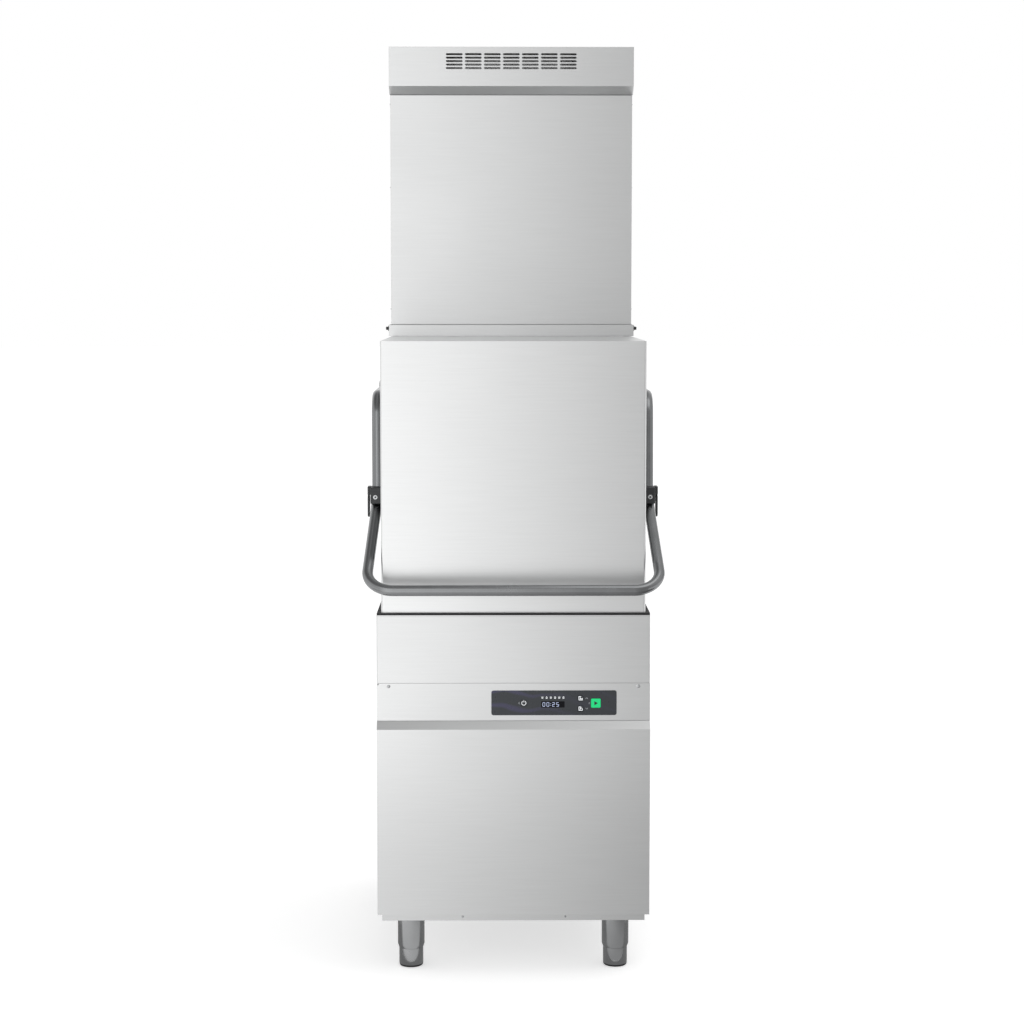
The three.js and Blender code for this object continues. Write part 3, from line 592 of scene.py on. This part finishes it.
def dress(names, material, bevel=0.6, segments=2, angle=30):
    """Gives CAD nodes a material, and modifiers that round their edges by the bevel in millimetres."""
    for name in names:
        node = nodes[name]
        for material_slot in node.material_slots:
            material_slot.material = material
        if bevel:
            rounded(node, bevel, segments, angle)


dress(["lower_front_panel", "control_strip", "base_frame", "upper_casing"], BRUSHED, 0.7)
dress(["left_side_panel", "right_side_panel", "rear_panel"], BRUSHED, 0.7)
dress(["column_casing", "tower_casing", "tower_front_panel", "louvre_band"], BRUSHED, 0.6)
dress(["hood"], FINE_BRUSHED, 1.8, 3, 22)
dress(["wash_tank"], FINE_BRUSHED, 0.8)
dress(["rack_guide", "left_lift_rail", "right_lift_rail", "tank_strainer"], FINE_BRUSHED, 0.5)
dress(["pivot_shaft", "left_guide_rod", "right_guide_rod", "riser_pipe", "lower_manifold"], STEEL, 0.5, 2, 40)
dress(["lower_wash_arm", "upper_wash_arm"], FINE_BRUSHED, 1.6, 3)
dress(["lower_rinse_arm", "upper_rinse_arm", "standpipe", "tank_heater", "boiler"], STEEL, 0.4, 2, 40)
dress(["rim_seal", "suction_pipe"], RUBBER, 0.8, 3, 40)
dress(["left_guide_shoe", "right_guide_shoe"], BLACK_PLASTIC, 1.2, 3, 40)
dress(["wash_pump", "electrical_box"], GREY_PLASTIC, 1.5, 3, 40)
dress(["wash_pump_motor"], BLACK_PLASTIC, 0.8, 2, 40)
dress(["fan_motor", "fan_impeller"], BLACK_PLASTIC, 0.8, 2, 40)
dress(["boiler_heater", "condenser_coil"], COPPER, 0.6, 2, 40)
dress(["display_panel"], FOIL, 0.35, 2, 50)

# ---------------------------------------------------------------- handle


def mirrored(place, sign):
    """A place on the right side, carried to the side of the sign."""
    return at(sign * place[0], place[1], place[2])


def towards(start, end, distance):
    """The point that lies the distance in millimetres from the start on the way to the end."""
    return start + (end - start).normalized() * distance * MM


def handle_arm(side, sign):
    """One side arm: its tube, the hub on the shaft, a washer, and the pin that points at the lift rail."""
    hub_y, hub_z = PIVOT
    joint = mirrored(JOINT, sign)
    elbow = mirrored(ELBOW, sign)
    start = at(sign * HUB_X, hub_y - HUB_RADIUS + 4, hub_z)
    end = towards(joint, elbow, JOINT_GAP / 2)
    bm = bmesh.new()
    sweep(bm, bent([start, elbow, end], TUBE_BEND), TUBE_R, 32, TUBE_WALL)
    piece(f"{side}_arm_tube", bm, "handle", SHADE_DARKENED_TUBE, [f"{side}_arm"])

    bm = bmesh.new()
    half = TUBE_R
    profile = [
        (HUB_BORE, -half), (HUB_RADIUS - 1.5, -half), (HUB_RADIUS, -half + 1.5),
        (HUB_RADIUS, half - 1.5), (HUB_RADIUS - 1.5, half), (HUB_BORE, half), (HUB_BORE, -half),
    ]
    turn_rings(bm, profile, (sign * HUB_X, hub_y, hub_z), "X")
    piece(f"{side}_arm_hub", bm, "handle", SHADE_DARKENED_TUBE)

    bm = bmesh.new()
    washer = [(0.2, 0), (8.2, 0), (9, 0.8), (9, 1.6), (0.2, 1.6)]
    lathe(bm, washer, (sign * (HUB_X + half - 1.2), hub_y, hub_z), outward(sign))
    piece(f"{side}_shaft_washer", bm, "handle", BRIGHT_STEEL)

    bm = bmesh.new()
    pin_root = ROLLER[0] - TUBE_R + 3
    length = pin_root - ROLLER_TIP
    profile = [
        (0.2, 0), (5, 0), (5, 1), (ROLLER_RADIUS, 1),
        (ROLLER_RADIUS, length - 0.8), (ROLLER_RADIUS - 0.8, length), (0.2, length),
    ]
    lathe(bm, profile, (sign * pin_root, ROLLER[1], ROLLER[2]), outward(-sign))
    piece(f"{side}_lift_roller", bm, "handle", BLACK_PLASTIC)


def front_bar():
    """The U-shaped grip, from one joint block round the front to the other."""
    corners = [
        towards(mirrored(JOINT, -1), mirrored(GRIP, -1), JOINT_GAP / 2),
        mirrored(GRIP, -1),
        mirrored(GRIP, 1),
        towards(mirrored(JOINT, 1), mirrored(GRIP, 1), JOINT_GAP / 2),
    ]
    bm = bmesh.new()
    sweep(bm, bent(corners, TUBE_BEND, 16), TUBE_R, 32, TUBE_WALL)
    piece("front_grip_tube", bm, "handle", SHADE_DARKENED_TUBE, ["front_grip"])


def joint_extents(extents, sign):
    """The extents of a part of a joint block as places, on the side of the sign."""
    x, y, z = JOINT
    x0, x1, y0, y1, z0, z1 = extents
    x0, x1 = sorted((sign * (x + x0), sign * (x + x1)))
    return x0, x1, y + y0, y + y1, z + z0, z + z1


def joint_block(side, sign):
    """The block that joins an arm to the grip: its body, a bridge outwards and a tongue that hangs down."""
    bm = bmesh.new()
    block(bm, *joint_extents(JOINT_BODY, sign))
    body = piece(f"{side}_joint_body", bm, "handle", BLACK_PLASTIC, [f"{side}_joint_block"])
    rounded(body, 2.2, 4)

    bm = bmesh.new()
    block(bm, *joint_extents(JOINT_BRIDGE, sign))
    rounded(piece(f"{side}_joint_bridge", bm, "handle", BLACK_PLASTIC), 1.6, 3)

    bm = bmesh.new()
    x0, x1, y0, y1, z0, z1 = joint_extents(JOINT_TONGUE, sign)
    plate(bm, rounded_outline(y0, y1, z0, z1, 11), x0, x1, "X")
    rounded(piece(f"{side}_joint_tongue", bm, "handle", BLACK_PLASTIC), 1.2, 3, 50)

    x, y, z = (middle + step for middle, step in zip(JOINT, JOINT_SCREW))
    socket_screw(f"{side}_joint_screw_front", (sign * x, y, z), "-Y", 5.2, "handle")


def socket_screw(name, place, axis, radius, body):
    """A socket screw: a washer, a head with a hexagonal hollow, and a dark disc in the hollow that paints the
    hollow's shade.
    """
    bm = bmesh.new()
    bore = radius * 0.7
    washer = [(bore, -0.4), (radius, -0.4), (radius, 0.5), (radius - 0.5, 1.0), (bore, 1.0), (bore, -0.4)]
    turn_rings(bm, washer, place, axis)
    piece(f"{name}_washer", bm, body, BRIGHT_STEEL)
    turn = AXES[axis]
    bm = bmesh.new()
    sides = 24

    def outline(r, height, six_sided=False):
        ring = []
        for i in range(sides):
            angle = 2 * math.pi * i / sides
            reach = r
            if six_sided:
                within = (angle % (math.pi / 3)) - math.pi / 6
                reach = r / math.cos(within)
            local = Vector((reach * math.cos(angle), reach * math.sin(angle), height)) * MM
            ring.append(at(*place) + turn @ local)
        return ring

    head = radius * 0.68
    hollow = radius * 0.42
    loft(bm, [
        outline(head, -0.4), outline(head, 1.2), outline(head - 0.4, 1.6),
        outline(hollow, 1.6, True), outline(hollow, 0.3, True),
    ])
    piece(f"{name}_head", bm, body, STEEL)
    # painted shade: a dark disc at the bottom of the hexagonal hollow
    bm = bmesh.new()
    disc = hollow * 0.98
    lathe(bm, [(0.1, 0.1), (disc, 0.1), (disc, 0.6), (0.1, 0.6)], place, axis, sides)
    piece(f"{name}_socket", bm, body, BLACK_PLASTIC)


for side_name, side_sign in SIDES:
    handle_arm(side_name, side_sign)
    joint_block(side_name, side_sign)
front_bar()

# ---------------------------------------------------------------- legs


def leg(corner, x, y):
    """A round leg: a sleeve with a tapered lower end, the adjustable foot in it, and a rubber pad."""
    bm = bmesh.new()
    sleeve = [
        (LEG_FOOT_R + 0.6, LEG_SEAM + 0.4), (LEG_FOOT_R + 0.9, LEG_SEAM + 0.5),
        (LEG_SLEEVE_R, LEG_SEAM + 7.6), (LEG_SLEEVE_R, LEG_TOP),
        (LEG_BORE, LEG_TOP), (LEG_BORE, LEG_SEAM + 0.4),
    ]
    turn_rings(bm, [*sleeve, sleeve[0]], (x, y, 0), "Z", 64)
    piece(f"leg_tube_{corner}", bm, "cabinet", SHADE_DARKENED_LEG_STEEL, [f"leg_sleeve_{corner}"])
    bm = bmesh.new()
    foot = [
        (0.5, LEG_PAD + 0.2), (LEG_FOOT_R - 0.3, LEG_PAD + 0.2), (LEG_FOOT_R, LEG_PAD + 0.7),
        (LEG_FOOT_R, LEG_SEAM - 0.4), (LEG_FOOT_R - 0.4, LEG_SEAM), (LEG_BORE - 0.5, LEG_SEAM),
        (LEG_BORE - 0.5, LEG_ROD_TOP), (0.5, LEG_ROD_TOP),
    ]
    lathe(bm, foot, (x, y, 0), "Z", 64)
    piece(f"foot_sleeve_{corner}", bm, "cabinet", SHADE_DARKENED_LEG_STEEL, [f"foot_{corner}"])
    bm = bmesh.new()
    pad = [
        (0.5, 0), (LEG_FOOT_R - 5, 0), (LEG_FOOT_R - 1.9, 0.8), (LEG_FOOT_R - 0.5, 2.8),
        (LEG_FOOT_R - 0.2, LEG_PAD), (0.5, LEG_PAD),
    ]
    lathe(bm, pad, (x, y, 0), "Z", 64)
    piece(f"foot_pad_{corner}", bm, "cabinet", RUBBER)


for row_name, leg_y in LEG_ROWS:
    for side_name, side_sign in SIDES:
        leg(f"{row_name}_{side_name}", side_sign * LEG_X, leg_y)

# ---------------------------------------------------------------- display, its print and its buttons


def ink(name, outlines, material, front, body):
    """Flat printed marks, each an outline of (x, z), as one thin piece."""
    bm = bmesh.new()
    for outline in outlines:
        plate(bm, outline, front - PRINT, front + 0.05)
    return piece(name, bm, body, material)


def bar(x0, z0, x1, z1, width):
    """A straight printed line between two points."""
    direction = Vector((x1 - x0, z1 - z0)).normalized()
    u, v = -direction.y * width / 2, direction.x * width / 2
    return [(x0 + u, z0 + v), (x1 + u, z1 + v), (x1 - u, z1 - v), (x0 - u, z0 - v)]


def arc_bars(cx, cz, radius, start, end, width, steps=14):
    """A printed arc as a row of short marks; its angles are in degrees, clockwise from the top."""
    inner = radius - width / 2
    outer = radius + width / 2
    outlines = []
    for i in range(steps):
        quad = []
        a, b = (math.radians(start + (end - start) * (i + k) / steps) for k in (0, 1))
        for r, angle in ((inner, a), (outer, a), (outer, b), (inner, b)):
            quad.append((cx + r * math.sin(angle), cz + r * math.cos(angle)))
        outlines.append(quad)
    return outlines


def chevron(cx, cz, size, direction, width=0.7):
    """A small angle mark that points up, down, left or right."""
    turn = {"up": (0, 1), "down": (0, -1), "left": (-1, 0), "right": (1, 0)}[direction]
    tip = (cx + turn[0] * size / 2, cz + turn[1] * size / 2)
    marks = []
    for k in (-1, 1):
        start = (cx - turn[0] * size / 2 + turn[1] * k * size, cz - turn[1] * size / 2 + turn[0] * k * size)
        marks.append(bar(*start, *tip, width))
    return marks


def display():
    """The clock's glass and digits, the row of icons above it, and the small arrows beside the buttons."""
    bm = bmesh.new()
    plate(bm, rounded_outline(*CLOCK_GLASS, 1.2), DISPLAY_FRONT - 0.1, DISPLAY_FRONT + 0.1)
    piece("display_window", bm, "cabinet", LCD_GLASS)
    ink("display_digits", clock_digits(*CLOCK_DIGITS, "0025"), LCD_INK, DISPLAY_FRONT - 0.1, "cabinet")

    icons = []
    first_x, cz, pitch, count = ICON_ROW
    for i in range(count):
        cx = first_x + i * pitch
        icons.append(bar(cx - 2.1, cz - 1.9, cx + 2.1, cz - 1.9, 0.9))
        if i % 2:
            icons += arc_bars(cx, cz + 0.5, 1.6, 0, 360, 0.9, 10)
        else:
            icons += [bar(cx + k * 1.6, cz - 0.8, cx + k * 1.6, cz + 2.1, 0.9) for k in (-1, 0, 1)]
    ink("display_icon_row", icons, WHITE_INK, DISPLAY_FRONT, "cabinet")

    marks = [mark for settings in CHEVRONS for mark in chevron(*settings)]
    ink("display_chevrons", marks, GREY_INK, DISPLAY_FRONT, "cabinet")


# the lit segments of each digit: top, upper right, lower right, bottom, lower left, upper left, middle
SEGMENTS = {"0": (0, 1, 2, 3, 4, 5), "2": (0, 1, 6, 4, 3), "5": (0, 5, 6, 2, 3)}


def clock_digits(left, low, text):
    """Seven-segment digits of a countdown, with the two dots of its colon in the middle."""
    width = 5.0
    half = 4.3
    line = 1.0
    pitch = 9.4
    lit = []
    for place, digit in enumerate(text):
        x0 = left + place * pitch + (3.4 if place > 1 else 0)
        x1 = x0 + width
        corners = [(x, low + step * half) for x in (x0, x1) for step in range(3)]
        ends = [(2, 5), (5, 4), (4, 3), (0, 3), (0, 1), (1, 2), (1, 4)]
        lit += [bar(*corners[ends[k][0]], *corners[ends[k][1]], line) for k in SEGMENTS[digit]]
    colon = left + 2 * pitch - 0.6
    for height in (low + 2.4, low + 6.2):
        lit.append(bar(colon - 0.6, height, colon + 0.6, height, 1.2))
    return lit


def button_cap(name, material):
    """A button's cap with round corners, a little in front of the display's face."""
    x, z, width, height = BUTTONS[name]
    bm = bmesh.new()
    u, v = width / 2, height / 2
    plate(bm, rounded_outline(x - u, x + u, z - v, z + v, 2.5), BUTTON_FRONT, BUTTON_BACK)
    cap = piece(f"{name}_cap", bm, f"{name}_body", material, [name], smooth=50)
    rounded(cap, 0.5, 3, 50)


def button_print():
    """A power mark, two rack marks and an arrow, each riding on its own button."""
    x, z = BUTTONS["power_button"][:2]
    power = [*arc_bars(x, z, 4.9, 32, 328, 1.2, 24), bar(x, z + 1.8, x, z + 6.2, 1.1)]
    ink("power_button_mark", power, WHITE_INK, BUTTON_FRONT, "power_button_body")
    for name, flip in (("program_button_upper", 1), ("program_button_lower", -1)):
        x, z = BUTTONS[name][:2]
        rack = [
            bar(x - 4.4, z - 4, x + 4.4, z - 4, 1.3),
            bar(x - 4.4, z + 4, x + 1.0, z + 4, 1.3),
            bar(x - 4, z - 4, x - 4, z + 4, 1.3),
            bar(x + 4, z - 4, x + 4, z + 0.6, 1.3),
            bar(x - 1.8, z - flip * 1.2, x + 2.2, z - flip * 1.2, 2.2),
            bar(x - 1.8, z + flip * 1.6, x + 0.2, z + flip * 1.6, 1.4),
        ]
        ink(f"{name}_mark", rack, WHITE_INK, BUTTON_FRONT, f"{name}_body")
    x, z = BUTTONS["start_button"][:2]
    arrow = [(x - 3.4, z - 4.8), (x + 4.8, z), (x - 3.4, z + 4.8)]
    ink("start_button_mark", [arrow], DARK_INK, BUTTON_FRONT, "start_button_body")


display()
for button_name in BUTTONS:
    button_cap(button_name, GREEN_KEY if button_name == "start_button" else FOIL)
button_print()

# ---------------------------------------------------------------- fasteners


def pan_screw(name, place, axis, radius, body):
    """A pan-head screw: a domed head with a round hollow, on a thin washer."""
    bm = bmesh.new()
    washer = [(0.1, -0.2), (radius * 1.28, -0.2), (radius * 1.28, 0.35), (radius * 1.2, 0.5), (0.1, 0.5)]
    lathe(bm, washer, place, axis, 32)
    piece(f"{name}_washer", bm, body, BRIGHT_STEEL)
    bm = bmesh.new()
    profile = [
        (radius, 0.4), (radius, 1.1), (radius * 0.9, 1.7), (radius * 0.66, 2.1),
        (radius * 0.42, 2.25), (radius * 0.40, 1.2), (0.1, 0.7),
    ]
    lathe(bm, profile, place, axis, 32)
    piece(f"{name}_head", bm, body, STEEL)


for screw_name, (screw_place, screw_radius) in FRONT_SCREWS.items():
    pan_screw(screw_name, screw_place, "-Y", screw_radius, "cabinet")
for side_name, side_sign in SIDES:
    for row_name, screw_x, screw_y, facing, screw_radius, heights in SCREW_ROWS:
        screw_axis = outward(side_sign) if facing == "outward" else facing
        for row, screw_z in enumerate(heights):
            screw_name = f"{row_name.format(side=side_name)}_{row}"
            screw_place = (side_sign * screw_x, screw_y, screw_z)
            pan_screw(screw_name, screw_place, screw_axis, screw_radius, "cabinet")


def tower_peg(side, sign):
    """The dark peg that shows on each side of the tower's foot."""
    bm = bmesh.new()
    profile = [(0.2, -0.5), (7, -0.5), (7, 1.4), (4.2, 2.2), (4.2, 6.4), (3.2, 7.6), (0.2, 7.6)]
    lathe(bm, profile, (sign * TOWER_PEG[0], *TOWER_PEG[1:]), outward(sign), 28)
    piece(f"tower_peg_{side}", bm, "cabinet", BLACK_PLASTIC)


def shaft_bush(side, sign):
    """The flanged bearing bush where the handle's shaft leaves the column."""
    bm = bmesh.new()
    profile = [(10.3, 0.2), (26, 0.2), (26, 3), (24.8, 4.2), (16, 4.6), (15, 9), (10.3, 9), (10.3, 0.2)]
    turn_rings(bm, profile, (sign * COLUMN_HALF, *PIVOT), outward(sign), 40)
    piece(f"{side}_shaft_bush", bm, "cabinet", BLACK_PLASTIC)


for side_name, side_sign in SIDES:
    tower_peg(side_name, side_sign)
    shaft_bush(side_name, side_sign)

# ---------------------------------------------------------------- springs


def spring(side, sign):
    """A balance spring as a helix, with a mesh of its own."""
    x, y, bottom, top = SPRING
    path = []
    per_turn = 16
    count = SPRING_TURNS * per_turn
    for i in range(count + 1):
        angle = 2 * math.pi * i / per_turn
        height = bottom + (top - bottom) * i / count
        coil_x = sign * x + SPRING_RADIUS * math.cos(angle)
        coil_y = y + SPRING_RADIUS * math.sin(angle)
        path.append(at(coil_x, coil_y, height))
    bm = bmesh.new()
    sweep(bm, path, SPRING_WIRE, 8)
    coil = piece(f"{side}_spring_coil", bm, "cabinet", STEEL, [f"{side}_spring"])
    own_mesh(coil)


for side_name, side_sign in SIDES:
    spring(side_name, side_sign)

# ---------------------------------------------------------------- studio


def floor():
    """A wide pale floor that glows enough to look white."""
    s = Shader("studio_floor", FLOOR_COLOUR, 0.0, 0.6)
    s.shade(s.noise(s.place, 1.2, 3.0), 0.99, 1.01)
    s.principled.inputs["Emission Color"].default_value = (1, 1, 1, 1)
    s.principled.inputs["Emission Strength"].default_value = FLOOR_GLOW
    s.principled.inputs["Specular IOR Level"].default_value = 0.0
    bm = bmesh.new()
    bmesh.ops.create_circle(bm, cap_ends=True, segments=96, radius=FLOOR_RADIUS)
    mesh = bpy.data.meshes.new("studio_floor")
    bm.to_mesh(mesh)
    bm.free()
    ground = bpy.data.objects.new("studio_floor", mesh)
    ground.location.z = -0.0005
    ground.data.materials.append(s.material)
    bpy.context.scene.collection.objects.link(ground)


def softbox(name, place, target, width, height, radiance):
    """A rectangular lamp as bright as its radiance, unseen by the camera itself."""
    light = bpy.data.lights.new(name, "AREA")
    light.shape = "RECTANGLE"
    light.size = width
    light.size_y = height
    light.energy = radiance * math.pi * width * height
    lamp = bpy.data.objects.new(name, light)
    lamp.location = place
    lamp.rotation_mode = "QUATERNION"
    lamp.rotation_quaternion = (Vector(target) - Vector(place)).to_track_quat("-Z", "Y")
    lamp.visible_camera = False
    bpy.context.scene.collection.objects.link(lamp)


def glowing_material(name):
    """A material that only gives light, with the emission shader that sets how much."""
    material = bpy.data.materials.new(name)
    material.use_nodes = True
    tree = material.node_tree
    tree.nodes.remove(tree.nodes["Principled BSDF"])
    emission = tree.nodes.new("ShaderNodeEmission")
    tree.links.new(emission.outputs[0], tree.nodes["Material Output"].inputs["Surface"])
    return material, emission


def reflected_sheet(name, vertices, faces, material):
    """A sheet in the studio that only reflections see."""
    mesh = bpy.data.meshes.new(name)
    mesh.from_pydata(vertices, [], faces)
    mesh.materials.append(material)
    sheet = bpy.data.objects.new(name, mesh)
    bpy.context.scene.collection.objects.link(sheet)
    for kind in ("camera", "diffuse", "transmission", "volume_scatter", "shadow"):
        setattr(sheet, f"visible_{kind}", False)


def gradient_card():
    """A lit sheet in front of the object that only reflections see: bright at its left, darker at its right.

    It lies on the floor near the object and curves up to stand well in front of it.
    """
    material, emission = glowing_material("gradient_card")
    tree = material.node_tree
    split = tree.nodes.new("ShaderNodeSeparateXYZ")
    tree.links.new(tree.nodes.new("ShaderNodeTexCoord").outputs["Object"], split.inputs[0])
    across = map_range(tree, split.outputs[0], (*CARD_SPAN, *CARD_LIGHT))
    share = ramp(tree, split.outputs[2], CARD_SHARES)
    # the far left end is dimmer, so that the front isn't burnt out when it is seen from the right
    fall = map_range(tree, split.outputs[0], CARD_LEFT_END)
    tree.links.new(product(tree, across, product(tree, share, fall)), emission.inputs["Strength"])

    profile = [(CARD_NEAR, CARD_FOOT)]
    for step in range(CARD_STEPS + 1):
        angle = math.radians(90 * step / CARD_STEPS)
        y = CARD_FAR + CARD_BEND - CARD_BEND * math.sin(angle)
        z = CARD_FOOT + CARD_BEND - CARD_BEND * math.cos(angle)
        profile.append((y, z))
    profile.append((CARD_FAR, CARD_TOP))
    vertices = [(x, y, z) for y, z in profile for x in (-CARD_HALF, CARD_HALF)]
    faces = [(2 * i, 2 * i + 1, 2 * i + 3, 2 * i + 2) for i in range(len(profile) - 1)]
    reflected_sheet("gradient_card", vertices, faces, material)


def floor_flag():
    """A dim sheet on the floor under the object that only reflections see.

    It darkens both sides of the round legs.
    """
    material, emission = glowing_material("floor_flag")
    emission.inputs["Strength"].default_value = FLAG_LIGHT
    corners = [
        (-FLAG_HALF, FLAG_NEAR, FLAG_HEIGHT), (FLAG_HALF, FLAG_NEAR, FLAG_HEIGHT),
        (FLAG_HALF, FLAG_FAR, FLAG_HEIGHT), (-FLAG_HALF, FLAG_FAR, FLAG_HEIGHT),
    ]
    reflected_sheet("floor_flag", corners, [(0, 1, 2, 3)], material)


def studio_world():
    """Soft light all round: bright at the left and behind, darker at the front and both right corners."""
    world = bpy.data.worlds.new("studio")
    bpy.context.scene.world = world
    world.use_nodes = True
    tree = world.node_tree
    direction = tree.nodes.new("ShaderNodeTexCoord").outputs["Generated"]
    split = tree.nodes.new("ShaderNodeSeparateXYZ")
    tree.links.new(direction, split.inputs[0])
    round_about = tree.nodes.new("ShaderNodeTexGradient")
    round_about.gradient_type = "RADIAL"
    tree.links.new(direction, round_about.inputs[0])
    sides = ramp(tree, round_about.outputs[1], WORLD_SIDES)
    overhead = ramp(tree, map_range(tree, split.outputs[0], (-1, 1, 0, 1), smooth=False), WORLD_OVERHEAD)
    mix = tree.nodes.new("ShaderNodeMix")
    mix.data_type = "RGBA"
    tree.links.new(map_range(tree, split.outputs[2], WORLD_RISE), mix.inputs[0])
    tree.links.new(sides, mix.inputs[6])
    tree.links.new(overhead, mix.inputs[7])
    tree.links.new(mix.outputs[2], tree.nodes["Background"].inputs["Color"])


floor()
studio_world()
gradient_card()
floor_flag()
softbox("overhead_right", LAMP_PLACE, LAMP_TARGET, *LAMP_SIZE, LAMP_RADIANCE)

bpy.context.scene.view_settings.view_transform = "Standard"

camera_data = bpy.data.cameras.new("photo_camera")
camera_data.sensor_width = CAMERA_SENSOR
camera_data.lens = CAMERA_LENS
camera_data.shift_y = CAMERA_SHIFT
camera = bpy.data.objects.new("photo_camera", camera_data)
camera.location = at(*CAMERA_PLACE)
camera.rotation_euler = (math.radians(90 - CAMERA_TILT), 0, math.radians(-CAMERA_YAW))
bpy.context.scene.collection.objects.link(camera)
bpy.context.scene.camera = camera
